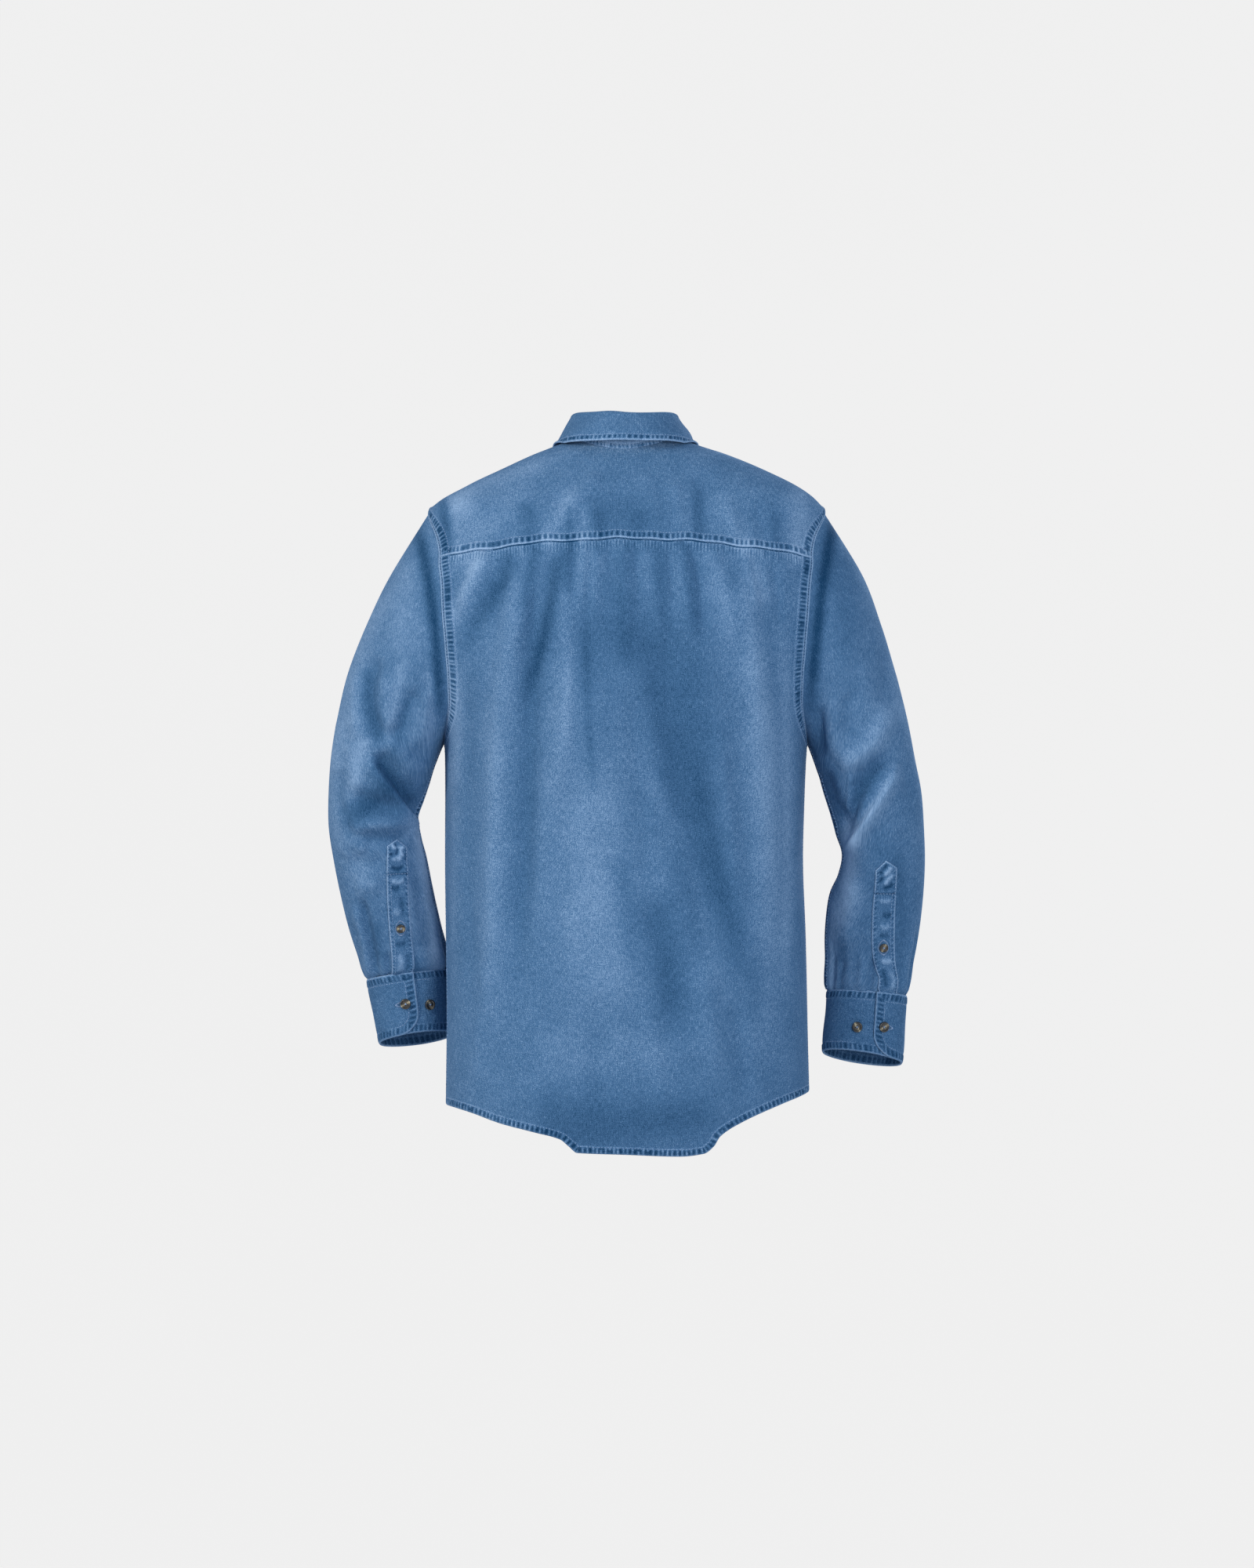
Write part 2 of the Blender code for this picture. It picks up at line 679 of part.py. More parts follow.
def sleeve_normal(side, ring, turn):
    reach = 0.05
    along = sleeve_form(side, np.minimum(ring + reach, 12), turn) - sleeve_form(
        side, np.maximum(ring - reach, 0), turn
    )
    around = sleeve_form(side, ring, turn + reach) - sleeve_form(side, ring, turn - reach)
    return unit(np.cross(along, around)) * side


def sleeve_point(side, ring, turn):
    """The sleeve's outer cloth with its folds."""
    form, normal = sleeve_form(side, ring, turn), sleeve_normal(side, ring, turn)
    rear = LEFT_SLEEVE_BACK_FOLDS if side > 0 else RIGHT_SLEEVE_BACK_FOLDS
    fore = LEFT_SLEEVE_FRONT_FOLDS if side > 0 else RIGHT_SLEEVE_FRONT_FOLDS
    x, z = form[..., 0], form[..., 2]
    lift = ease(-0.1, 0.5, normal[..., 1]) * fold_height(x, z, rear)
    lift += ease(-0.1, 0.5, -normal[..., 1]) * fold_height(x, z, fore)
    lift *= ease(0.2, 1.5, ring) * (1 - ease(11.3, 12, ring))
    return form + lift[..., None] * normal


def sleeve_grid(side):
    return sleeve_point(side, SLEEVE_RINGS[:, None], SLEEVE_TURNS[None, :])


def armhole_seams(side):
    """Outward directions of the trunk and the sleeve at the armhole, mitred where they would cross,
    and how far the seam is a hollow corner."""
    seam = armhole_point(SLEEVE_TURNS, side)
    trunk = torso_normal(seam)
    sleeve = sleeve_normal(side, np.full(len(SLEEVE_TURNS), 0.06), SLEEVE_TURNS)
    leaving = unit(sleeve_form(side, 0.12, SLEEVE_TURNS) - seam)
    convex = ease(0.35, 0.1, (trunk * leaving).sum(-1))[:, None]
    shared = unit(trunk + sleeve)
    mitre = 1 / np.clip((shared * trunk).sum(-1, keepdims=True), 0.6, 1)
    return (
        trunk * (1 - convex) + shared * mitre * convex,
        sleeve * (1 - convex) + shared * mitre * convex,
        1 - convex,
    )


def armhole_directions(side, turns):
    """The trunk's outward directions along a stretch of the armhole."""
    directions = armhole_seams(side)[0]
    places = [int(np.argmin(np.abs(np.angle(np.exp(1j * (SLEEVE_TURNS - t)))))) for t in turns]
    return directions[places]


def add_sleeve(name, side):
    outer = sleeve_grid(side)
    normals = -grid_normals(outer, wrapped=True) * side
    trunk, normals[0], hollow = armhole_seams(side)
    outer = trimmed(outer, SEAM_GAP / 2, wrapped=True)
    outer[0] += 2.2 * SEAM_GAP * hollow * trunk
    return add_wall(name, outer, outer - CLOTH * normals, DENIM, wrapped=True)


# Trunk panels


def add_panel(name, grid, seam_directions=(), lift=0.0, thickness=CLOTH, finish=DENIM, gap=SEAM_GAP / 2):
    """A panel on the trunk. seam_directions holds the outward directions of its armhole vertices."""
    normals = torso_normal(grid)
    for rows, column, directions in seam_directions:
        normals[rows, column] = directions
    grid = trimmed(grid, gap)
    outer = grid + (torso_folds(grid) + lift)[..., None] * unit(normals)
    return add_wall(name, outer, outer - thickness * normals, finish)


def add_back():
    share = np.linspace(0, 1, 2 * SHOULDER_COLUMNS + BACK_NECK_COLUMNS + 1)
    grid = panel_grid(
        hem_point(math.pi * share, 1),
        yoke_back_seam(share),
        side_edge(1, BACK_TURNS),
        side_edge(-1, BACK_TURNS),
        facing=math.pi / 2,
    )
    armhole_rows = np.arange(SIDE_ROWS, SIDE_ROWS + BACK_ARMHOLE_ROWS + 1)
    seams = [
        (armhole_rows, 0, armhole_directions(1, BACK_TURNS)),
        (armhole_rows, -1, armhole_directions(-1, BACK_TURNS)),
    ]
    return add_panel("back", grid, seams)


def add_yoke():
    share = np.linspace(0, 1, 2 * SHOULDER_COLUMNS + BACK_NECK_COLUMNS + 1)
    shoulder = np.linspace(0, 1, SHOULDER_COLUMNS + 1)
    neck = np.linspace(NECK_CORNER, math.pi - NECK_CORNER, BACK_NECK_COLUMNS + 1)
    top = np.concatenate(
        [
            yoke_front_seam(shoulder, 1)[:-1],
            neck_point(neck),
            yoke_front_seam(shoulder, -1)[::-1][1:],
        ]
    )
    grid = blend(
        yoke_back_seam(share),
        top,
        armhole_point(YOKE_TURNS, 1),
        armhole_point(YOKE_TURNS, -1),
        pull=1,
    )
    grid[1:-1, 1:-1] = onto_torso(grid[1:-1, 1:-1])
    rows = np.arange(YOKE_ROWS + 1)
    seams = [
        (rows, 0, armhole_directions(1, YOKE_TURNS)),
        (rows, -1, armhole_directions(-1, YOKE_TURNS)),
    ]
    return add_panel("yoke", grid, seams)


def front_grid(side):
    """A front from its edge past the middle to the side seam."""
    edge_turn = math.asin(BAND_HALF_WIDTH / NECK_HALF_WIDTH)
    band = -math.pi / 2 + np.array([-edge_turn, 0])
    neck_turns = np.concatenate([band, np.linspace(edge_turn - math.pi / 2, NECK_CORNER, 4)])
    neck = neck_point(neck_turns)
    neck[:, 0] *= side
    top = np.concatenate(
        [neck, yoke_front_seam(np.linspace(1, 0, SHOULDER_COLUMNS + 1), side)[1:]]
    )
    columns = len(top)
    band_turn = math.atan(BAND_HALF_WIDTH / float(half_depth_at(hem_front_at(0))))
    hem_turns = np.concatenate([[-band_turn, 0, band_turn], np.linspace(0, math.pi / 2, columns - 1)[2:]])
    hem_turns -= math.pi / 2
    if side < 0:
        hem_turns = math.pi - hem_turns
    bottom = hem_point(hem_turns, -1)
    z = np.linspace(bottom[0, 2], top[0, 2], SIDE_ROWS + FRONT_ARMHOLE_ROWS + 1)
    edge = torso_at_x(-side * BAND_HALF_WIDTH, z, -1)
    seam = side_edge(side, FRONT_TURNS)
    return panel_grid(bottom, top, edge, seam, facing=-math.pi / 2 + side * math.pi / 4)


def overlap_lift(grid):
    """How far the left front stands out over the right one."""
    return (CLOTH + LAYER_GAP) * (1 - ease(BAND_HALF_WIDTH + 2, BAND_HALF_WIDTH + 34, grid[..., 0]))


def add_front(name, side):
    grid = front_grid(side)
    rows = np.arange(SIDE_ROWS, SIDE_ROWS + FRONT_ARMHOLE_ROWS + 1)
    seams = [(rows, -1, armhole_directions(side, FRONT_TURNS))]
    lift = overlap_lift(grid) if side > 0 else 0.0
    return add_panel(name, grid, seams, lift)


def add_button_band():
    grid = front_grid(1)[:, :3].copy()
    neck_end = 3.5
    grid[-1] += unit(grid[-2] - grid[-1]) * neck_end
    return add_panel("button_band", grid, lift=2 * (CLOTH + LAYER_GAP), finish=DENIM_TRIM, gap=0.0)


# Collar


def oval_point(turn, half_width, half_depth, middle_x, middle_y, z):
    return point_of(middle_x + half_width * np.cos(turn), middle_y + half_depth * np.sin(turn), z)


def oval_normal(turn, half_width, half_depth):
    return unit(point_of(np.cos(turn) / half_width, np.sin(turn) / half_depth, 0))


def stand_top(turn):
    """The upper edge of the collar stand, level at the back and sides and lower in front."""
    z = smooth_line(*columns_of(STAND_TOP))(np.degrees(np.arccos(np.clip(np.sin(turn), -1, 1))))
    return oval_point(turn, STAND_TOP_HALF_WIDTH, STAND_TOP_HALF_DEPTH, STAND_TOP_X, STAND_TOP_Y, z)


def stand_foot(turn):
    """The lower edge of the collar stand, on the neckline and, in front, over the end of the band."""
    near_front = ease(0.6, 1.0, -np.sin(turn))[..., None]
    return neck_point(turn) + near_front * np.array([0, -2.0, 2.5]) + np.array([0, 0, 0.5])


def add_collar_stand():
    """A band from its left end, outside, once round the neck to its right end, inside."""
    overlap = math.asin(BAND_HALF_WIDTH / NECK_HALF_WIDTH)
    columns = 34
    travel = np.linspace(0, 2 * math.pi + 2 * overlap, columns + 1)
    turn = -math.pi / 2 - overlap + travel
    bottom, top = stand_foot(turn), stand_top(turn)
    outward = oval_normal(turn, NECK_HALF_WIDTH, NECK_HALF_DEPTH)
    inward_shift = (0.5 - travel / (2 * math.pi)) * (DOUBLED + LAYER_GAP)
    share = np.linspace(0, 1, 5)[:, None, None]
    end_distance = np.minimum(travel, travel[-1] - travel) * NECK_HALF_WIDTH
    corner = 12.0
    rounding = corner - np.sqrt(np.clip(corner**2 - np.clip(corner - end_distance, 0, None) ** 2, 0, None))
    rise = np.linalg.norm(top - bottom, axis=-1)
    top = top + (bottom - top) * (rounding / rise * (end_distance < corner))[:, None]
    grid = bottom + (top - bottom) * share
    middle = grid + (inward_shift[:, None] * outward)[None]
    half = DOUBLED / 2 * outward[None]
    return add_wall("collar_stand", middle + half, middle - half, DENIM_TRIM)


def add_collar():
    """The collar leaf, folded over the stand: short at the back and drawn out to two points in front."""
    columns, rows = 34, 6
    turn_degrees, edge_x, edge_y, edge_z = columns_of(LEAF)
    from_back = np.linspace(-LEAF_END, LEAF_END, columns + 1)
    turn = math.pi / 2 - from_back
    away = np.degrees(np.abs(from_back))
    edge = point_of(
        np.sign(from_back) * smooth_line(turn_degrees, edge_x)(away),
        smooth_line(turn_degrees, edge_y)(away),
        smooth_line(turn_degrees, edge_z)(away),
    )
    fold = stand_top(turn)
    outward = oval_normal(turn, STAND_TOP_HALF_WIDTH, STAND_TOP_HALF_DEPTH)
    up = unit(np.cross(np.gradient(fold, axis=0), outward))
    over = fold + (DOUBLED / 2 + LAYER_GAP + 0.3) * up
    bend = fold + 3.9 * outward + 2.2 * up
    shoulder = fold + 6.0 * outward - 1.5 * up
    share = np.linspace(0, 1, rows)[:, None, None]
    down = shoulder + (edge - shoulder) * share + LEAF_BULGE * np.sin(math.pi * share) * outward
    near_band = 1 - ease(30, 60, np.abs(down[..., 0]))
    clearance = LEAF_CLEARANCE[0] + (LEAF_CLEARANCE[1] - LEAF_CLEARANCE[0]) * near_band
    for _ in range(4):
        slope = torso_slope(down)
        steep = np.linalg.norm(slope, axis=-1)
        short = np.clip(clearance - torso_level(down) / steep, 0, None)
        down += (short / steep)[..., None] * slope
    grid = np.concatenate([down[::-1], bend[None], over[None]])
    normals = grid_normals(grid[:, ::-1])[:, ::-1]
    half = DOUBLED / 2 * normals
    return add_wall("collar", grid + half, grid - half, DENIM_TRIM)


# Cuffs and sleeve plackets


def cuff_form(side, turn, down):
    """The wrist line of the cuff at a turn and at a share of its height."""
    top = ring_frame(rings_of(side)[-1])
    foot = ring_frame(LEFT_CUFF_FOOT if side > 0 else RIGHT_CUFF_FOOT)
    down, turn = (np.asarray(a, float)[..., None] for a in (down, turn))
    middle, outward, backward = (a + (b - a) * down for a, b in zip(top, foot))
    return middle + np.cos(turn) * outward + np.sin(turn) * backward


def cuff_point(side, turn, down, out):
    """The cuff moved outwards by out, and its outward direction."""
    reach = 0.02
    place = cuff_form(side, turn, down)
    around = cuff_form(side, turn + reach, down) - cuff_form(side, turn - reach, down)
    along = cuff_form(side, turn, down + reach) - place
    normal = unit(np.cross(along, around)) * side
    return place + np.asarray(out)[..., None] * normal, normal


def cuff_end(side):
    return LEFT_CUFF_END if side > 0 else RIGHT_CUFF_END


def cuff_layer(travel):
    """How far the cuff's middle lies out from the wrist line as it winds from its upper end inwards."""
    return (0.5 - travel / (2 * math.pi)) * (DOUBLED + LAYER_GAP)


def add_cuff(name, side):
    rows = 5
    travel = np.linspace(0, 2 * math.pi + CUFF_UNDERLAP, CUFF_COLUMNS + 1)
    turn = cuff_end(side) - travel
    along = travel * 42.0
    height = 74.0
    short = np.clip(CUFF_CORNER - along, 0, None)
    rounding = CUFF_CORNER - np.sqrt(CUFF_CORNER**2 - short**2)
    top = SEAM_GAP / height
    foot = 1 - rounding / height
    down = foot + (top - foot) * np.linspace(0, 1, rows)[:, None]
    out = np.broadcast_to(cuff_layer(travel), down.shape)
    turns = np.broadcast_to(turn, down.shape)
    outer = cuff_point(side, turns, down, out + DOUBLED / 2)[0]
    inner = cuff_point(side, turns, down, out - DOUBLED / 2)[0]
    return add_wall(name, outer, inner, DENIM_TRIM)


def sleeve_strip_point(side, length, across, out):
    """A place on the sleeve placket: length 0 at the cuff and 1 at the point, across in millimetres."""
    (point_ring, point_turn), (cuff_ring, cuff_turn) = LEFT_PLACKET if side > 0 else RIGHT_PLACKET
    ring = cuff_ring + (point_ring - cuff_ring) * length
    turn = cuff_turn + (point_turn - cuff_turn) * length
    around = sleeve_form(side, ring, turn + 0.01) - sleeve_form(side, ring, turn - 0.01)
    turn = turn + across / (np.linalg.norm(around, axis=-1) / 0.02)
    row = np.interp(ring, SLEEVE_RINGS, np.arange(len(SLEEVE_RINGS)))
    column = np.interp(turn, SLEEVE_TURNS, np.arange(len(SLEEVE_TURNS)))
    i = np.minimum(row.astype(int), len(SLEEVE_RINGS) - 2)
    j = np.minimum(column.astype(int), len(SLEEVE_TURNS) - 2)
    v, u = (row - i)[..., None], (column - j)[..., None]
    grid = sleeve_grid(side)
    lower = grid[i, j] * (1 - u) + grid[i, j + 1] * u
    upper = grid[i + 1, j] * (1 - u) + grid[i + 1, j + 1] * u
    normal = sleeve_normal(side, ring, turn)
    return lower * (1 - v) + upper * v + np.asarray(out)[..., None] * normal, normal


def add_sleeve_placket(name, side):
    rows, length_mm = 12, 150.0
    across = np.linspace(-1, 1, 5)[None, :] * PLACKET_HALF_WIDTH
    tip = 1 - PLACKET_POINT / length_mm * np.abs(across) / PLACKET_HALF_WIDTH
    foot = 1.2 / length_mm
    length = foot + (tip - foot) * np.linspace(0, 1, rows)[:, None]
    across = np.broadcast_to(across, length.shape)
    lying = STRIP_GAP + CLOTH
    outer = sleeve_strip_point(side, length, across, np.full(length.shape, lying))[0]
    inner = sleeve_strip_point(side, length, across, np.full(length.shape, lying - CLOTH))[0]
    return add_wall(name, outer, inner, DENIM_TRIM)


# Buttons


def add_button(name, place, normal):
    """A round button with a raised rim, its back lying on place."""
    builder = bmesh.new()
    made = bmesh.ops.create_cone(
        builder,
        cap_ends=True,
        segments=12,
        radius1=BUTTON_RADIUS,
        radius2=BUTTON_RADIUS * 0.9,
        depth=BUTTON_THICKNESS,
    )
    bmesh.ops.translate(builder, verts=made["verts"], vec=(0, 0, BUTTON_THICKNESS / 2))
    top = max(builder.faces, key=lambda face: face.calc_center_median().z)
    bmesh.ops.inset_region(builder, faces=[top], thickness=1.2, depth=-0.7)
    across = unit(np.cross([0.0, 0.0, 1.0], normal))
    upward = np.cross(normal, across)
    for vertex in builder.verts:
        local = np.array(vertex.co)
        vertex.co = place + local[0] * across + local[1] * upward + local[2] * normal
    return add_piece(name, builder, HORN)


def add_band_buttons():
    for i in range(BAND_BUTTONS):
        z = FIRST_BUTTON - i * BUTTON_SPACING
        base = torso_at_x(0.0, z, -1)
        normal = torso_normal(base)
        out = 2 * (CLOTH + LAYER_GAP) + LAYER_GAP + float(torso_folds(base))
        add_button(f"button_band_{i + 1}", base + out * normal, normal)


def add_stand_button():
    turn = np.array(-math.pi / 2)
    bottom, top = stand_foot(turn), stand_top(turn)
    normal = unit(np.cross(top - bottom, np.array([-1.0, 0, 0])))
    out = (DOUBLED + LAYER_GAP) / 2 + DOUBLED / 2 + LAYER_GAP + 0.1
    add_button("button_collar_stand", (bottom * 0.45 + top * 0.55) + out * normal, normal)


def add_sleeve_buttons(label, side):
    buttons = LEFT_CUFF_BUTTONS if side > 0 else RIGHT_CUFF_BUTTONS
    for number, (turn_from_end, down) in enumerate(buttons, start=1):
        turn = math.radians(turn_from_end)
        out = float(cuff_layer(-turn % (2 * math.pi))) + DOUBLED / 2 + LAYER_GAP
        place, normal = cuff_point(side, np.array(cuff_end(side) + turn), np.array(down), np.array(out))
        add_button(f"button_cuff_{label}_{number}", place, normal)
    length, across = LEFT_PLACKET_BUTTON if side > 0 else RIGHT_PLACKET_BUTTON
    lying = STRIP_GAP + CLOTH + LAYER_GAP
    place, normal = sleeve_strip_point(side, np.array(length), np.array(across), np.array(lying))
    add_button(f"button_placket_{label}", place, normal)


def main():
    for leftover in list(bpy.data.objects):
        bpy.data.objects.remove(leftover)
    add_back()
    add_yoke()
    add_front("front_left", 1)
    add_front("front_right", -1)
    add_button_band()
    add_collar_stand()
    add_collar()
    for label, side in (("left", 1), ("right", -1)):
        add_sleeve(f"sleeve_{label}", side)
        add_cuff(f"cuff_{label}", side)
        add_sleeve_placket(f"sleeve_placket_{label}", side)
        add_sleeve_buttons(label, side)
    add_band_buttons()
    add_stand_button()


main()
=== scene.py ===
import json
import math

import bmesh
import bpy
import numpy as np
from mathutils import Vector
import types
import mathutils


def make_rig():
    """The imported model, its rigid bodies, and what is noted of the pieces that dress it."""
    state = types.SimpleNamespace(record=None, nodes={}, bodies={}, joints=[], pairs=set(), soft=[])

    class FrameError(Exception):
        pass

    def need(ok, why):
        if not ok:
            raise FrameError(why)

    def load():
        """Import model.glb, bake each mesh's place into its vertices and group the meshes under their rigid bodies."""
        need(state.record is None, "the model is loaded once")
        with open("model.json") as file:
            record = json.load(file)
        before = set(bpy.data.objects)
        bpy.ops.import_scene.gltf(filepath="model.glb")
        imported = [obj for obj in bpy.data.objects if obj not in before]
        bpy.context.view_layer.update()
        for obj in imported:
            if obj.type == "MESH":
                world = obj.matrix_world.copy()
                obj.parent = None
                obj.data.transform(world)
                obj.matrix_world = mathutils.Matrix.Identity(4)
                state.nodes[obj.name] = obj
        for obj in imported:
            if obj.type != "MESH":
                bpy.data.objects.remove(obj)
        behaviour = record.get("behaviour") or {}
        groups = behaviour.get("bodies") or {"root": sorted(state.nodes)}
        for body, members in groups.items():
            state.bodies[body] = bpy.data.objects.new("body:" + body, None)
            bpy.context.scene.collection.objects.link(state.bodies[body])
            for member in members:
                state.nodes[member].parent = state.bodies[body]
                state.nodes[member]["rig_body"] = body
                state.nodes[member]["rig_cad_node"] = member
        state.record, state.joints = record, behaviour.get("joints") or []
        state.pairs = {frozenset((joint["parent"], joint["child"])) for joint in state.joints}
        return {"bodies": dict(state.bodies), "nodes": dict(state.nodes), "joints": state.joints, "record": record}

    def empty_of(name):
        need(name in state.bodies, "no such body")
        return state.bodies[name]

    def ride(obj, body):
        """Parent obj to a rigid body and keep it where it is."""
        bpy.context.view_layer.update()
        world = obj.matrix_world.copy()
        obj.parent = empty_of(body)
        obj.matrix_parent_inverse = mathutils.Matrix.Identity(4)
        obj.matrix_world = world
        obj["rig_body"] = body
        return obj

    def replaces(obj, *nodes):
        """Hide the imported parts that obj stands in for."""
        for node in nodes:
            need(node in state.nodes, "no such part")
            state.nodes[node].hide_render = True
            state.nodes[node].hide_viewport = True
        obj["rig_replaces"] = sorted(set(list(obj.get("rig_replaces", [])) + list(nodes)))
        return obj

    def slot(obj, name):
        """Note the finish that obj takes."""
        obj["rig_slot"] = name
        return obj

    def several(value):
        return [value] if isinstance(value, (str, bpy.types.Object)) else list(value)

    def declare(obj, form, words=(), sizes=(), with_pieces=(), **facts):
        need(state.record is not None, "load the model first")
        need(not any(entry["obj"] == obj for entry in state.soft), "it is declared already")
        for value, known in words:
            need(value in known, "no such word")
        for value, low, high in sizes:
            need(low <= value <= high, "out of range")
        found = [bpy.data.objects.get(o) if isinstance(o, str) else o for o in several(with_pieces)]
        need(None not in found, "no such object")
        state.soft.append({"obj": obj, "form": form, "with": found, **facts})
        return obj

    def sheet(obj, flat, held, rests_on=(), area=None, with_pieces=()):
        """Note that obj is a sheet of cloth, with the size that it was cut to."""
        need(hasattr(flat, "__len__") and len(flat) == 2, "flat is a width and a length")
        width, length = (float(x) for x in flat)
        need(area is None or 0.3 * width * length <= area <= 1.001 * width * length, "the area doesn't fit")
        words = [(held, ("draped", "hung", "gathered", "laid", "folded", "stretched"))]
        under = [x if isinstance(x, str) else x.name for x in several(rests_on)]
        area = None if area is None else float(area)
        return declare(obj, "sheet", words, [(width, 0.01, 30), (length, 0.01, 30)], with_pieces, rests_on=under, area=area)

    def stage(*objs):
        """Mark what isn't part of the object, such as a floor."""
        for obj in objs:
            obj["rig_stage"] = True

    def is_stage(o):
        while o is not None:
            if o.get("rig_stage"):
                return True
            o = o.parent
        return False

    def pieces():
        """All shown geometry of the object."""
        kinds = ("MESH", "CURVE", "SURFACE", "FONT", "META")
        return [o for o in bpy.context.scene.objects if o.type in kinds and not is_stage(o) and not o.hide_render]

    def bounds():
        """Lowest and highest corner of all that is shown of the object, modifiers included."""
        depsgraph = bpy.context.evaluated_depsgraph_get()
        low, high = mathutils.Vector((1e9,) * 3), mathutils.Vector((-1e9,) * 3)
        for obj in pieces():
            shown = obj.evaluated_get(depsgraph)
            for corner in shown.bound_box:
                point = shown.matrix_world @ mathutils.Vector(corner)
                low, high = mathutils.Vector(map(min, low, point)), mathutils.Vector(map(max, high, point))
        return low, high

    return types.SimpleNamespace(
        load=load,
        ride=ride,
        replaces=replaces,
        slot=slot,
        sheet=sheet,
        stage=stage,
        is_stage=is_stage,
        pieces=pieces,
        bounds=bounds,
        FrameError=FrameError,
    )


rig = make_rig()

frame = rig.load()
cadLow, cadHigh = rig.bounds()
print("frame loaded:", len(frame["nodes"]), "nodes")

mm = 0.001
sides = ((1, "left"), (-1, "right"))  # the wearer's left is at +X
sideName = dict(sides)

# The cloth's form, in millimetres: front -Y, the wearer's left +X, up +Z
trunk = {
    # height, middle x, half width, back, front, squareness
    "rings": (
        (-800, -3.0, 200.0, 104, -118, 2.4),
        (-760, -2.8, 200.0, 118, -124, 2.4),
        (-716, -2.4, 199.5, 127, -129, 2.4),
        (-630, -1.8, 198.0, 129, -132, 2.4),
        (-540, -0.4, 197.5, 126, -133, 2.4),
        (-450, 1.6, 196.5, 123, -133, 2.4),
        (-400, 0.9, 197.0, 124, -133, 2.4),
        (-350, 0.0, 198.0, 128, -132, 2.4),
        (-322, -0.4, 199.5, 130, -131, 2.4),
        (-290, -0.2, 204.0, 132, -130, 2.4),
        (-258, 0.0, 214.0, 133, -128, 2.4),
        (-219, 0.0, 225.5, 133, -124, 2.4),
        (-181, 0.0, 230.5, 131, -118, 2.4),
        (-133, -0.5, 227.0, 124, -105, 2.35),
        (-113, -0.5, 221.5, 119, -98, 2.3),
        (-95, -0.6, 219.0, 112, -90, 2.25),
        (-80, -1.0, 218.5, 106, -82, 2.2),
        (-70, -1.4, 218.0, 101, -75, 2.2),
        (-59, -3.0, 209.0, 95, -66, 2.2),
        (-41, -7.0, 181.0, 84, -57, 2.15),
        (-24, -7.4, 146.0, 72, -49, 2.1),
        (-7, -5.2, 107.0, 59, -42, 2.05),
        (3, -2.5, 79.0, 50, -36, 2.0),
        (10, -1.0, 61.0, 43, -31, 2.0),
        (20, 0.0, 40.0, 34, -24, 2.0),
    ),
    "shoulderTip": -70.0,
    "armpit": -322.0,
    "armholeY": -5.0,
    "armholeBack": 85.0,
    "armholeFront": 88.0,
    "neckY": -7.0,
    "neckHalfWidth": 63.0,
    "neckHalfDepth": 60.0,
    "neckCorner": math.radians(-18.5),
    "yokeMiddle": -101.0,
    "yokeEnd": -121.0,
    "yokeFrontY": -41.0,
    "bandHalfWidth": 16.0,
    "cloth": 1.5,  # the solids' wall, which the layers are spaced by
    "doubled": 2.4,
    "layerGap": 0.4,
    "sunk": 0.1,  # how far a doubled piece's shell lies under its solid's surface
}
hem = {  # x, height, from the wearer's left side seam to the right
    "back": (
        (205, -722), (192, -725), (171, -731), (137, -743), (102, -752), (72, -760),
        (62, -768), (53, -775), (0, -777), (-60, -779), (-86, -776), (-97, -768),
        (-104, -757), (-127, -742), (-174, -721), (-192, -714), (-205, -708),
    ),
    "front": (
        (205, -722), (185, -724), (150, -737), (95, -757), (45, -764),
        (-45, -763), (-95, -754), (-150, -729), (-185, -712), (-205, -708),
    ),
}


def columnsOf(table):
    return np.array(table, float).T


# A smooth line through the values that never overshoots them
def smoothLine(knots, values):
    order = np.argsort(knots)
    knots = np.asarray(knots, float)[order]
    values = np.asarray(values, float)[order]
    gaps = np.diff(knots).reshape(-1, *[1] * (values.ndim - 1))
    rises = np.diff(values, axis=0) / gaps
    slopes = np.zeros_like(values)
    before, after = rises[:-1], rises[1:]
    with np.errstate(divide="ignore", invalid="ignore"):
        harmonic = 2 * before * after / (before + after)
    slopes[1:-1] = np.where(before * after > 0, harmonic, 0)
    slopes[0], slopes[-1] = rises[0], rises[-1]

    def at(measure):
        measure = np.clip(np.asarray(measure, float), knots[0], knots[-1])
        cell = np.clip(np.searchsorted(knots, measure) - 1, 0, len(knots) - 2)
        gap = knots[cell + 1] - knots[cell]
        share = (measure - knots[cell]) / gap
        share = share.reshape(share.shape + (1,) * (values.ndim - 1))
        gap = gap.reshape(share.shape)
        left = values[cell] * (1 + 2 * share) + slopes[cell] * share * gap
        right = values[cell + 1] * (3 - 2 * share) - slopes[cell + 1] * (1 - share) * gap
        return left * (1 - share) ** 2 + right * share**2

    return at


def ease(start, end, value):
    share = np.clip((value - start) / (end - start), 0, 1)
    return share * share * (3 - 2 * share)


def unit(vectors):
    return vectors / np.maximum(np.linalg.norm(vectors, axis=-1, keepdims=True), 1e-9)


def lengthAlong(points, axis=0):  # how far along a line, or a grid's rows or columns, each point is
    moves = np.linalg.norm(np.diff(points, axis=axis), axis=-1)
    zero = np.zeros_like(np.take(moves, [0], axis=axis))
    return np.concatenate([zero, np.cumsum(moves, axis=axis)], axis=axis)


def pointOf(x, y, z):
    return np.stack(np.broadcast_arrays(x, y, z), axis=-1).astype(float)


def finer(values, times):  # the same values with more steps between them
    values = np.asarray(values, float)
    at = np.linspace(0, len(values) - 1, (len(values) - 1) * times + 1)
    return np.interp(at, np.arange(len(values)), values)


middleXAt, halfWidthAt, backAt, frontAt, squarenessAt = (
    smoothLine(columnsOf(trunk["rings"])[0], column) for column in columnsOf(trunk["rings"])[1:]
)
hemBackAt = smoothLine(*columnsOf(hem["back"]))
hemFrontAt = smoothLine(*columnsOf(hem["front"]))


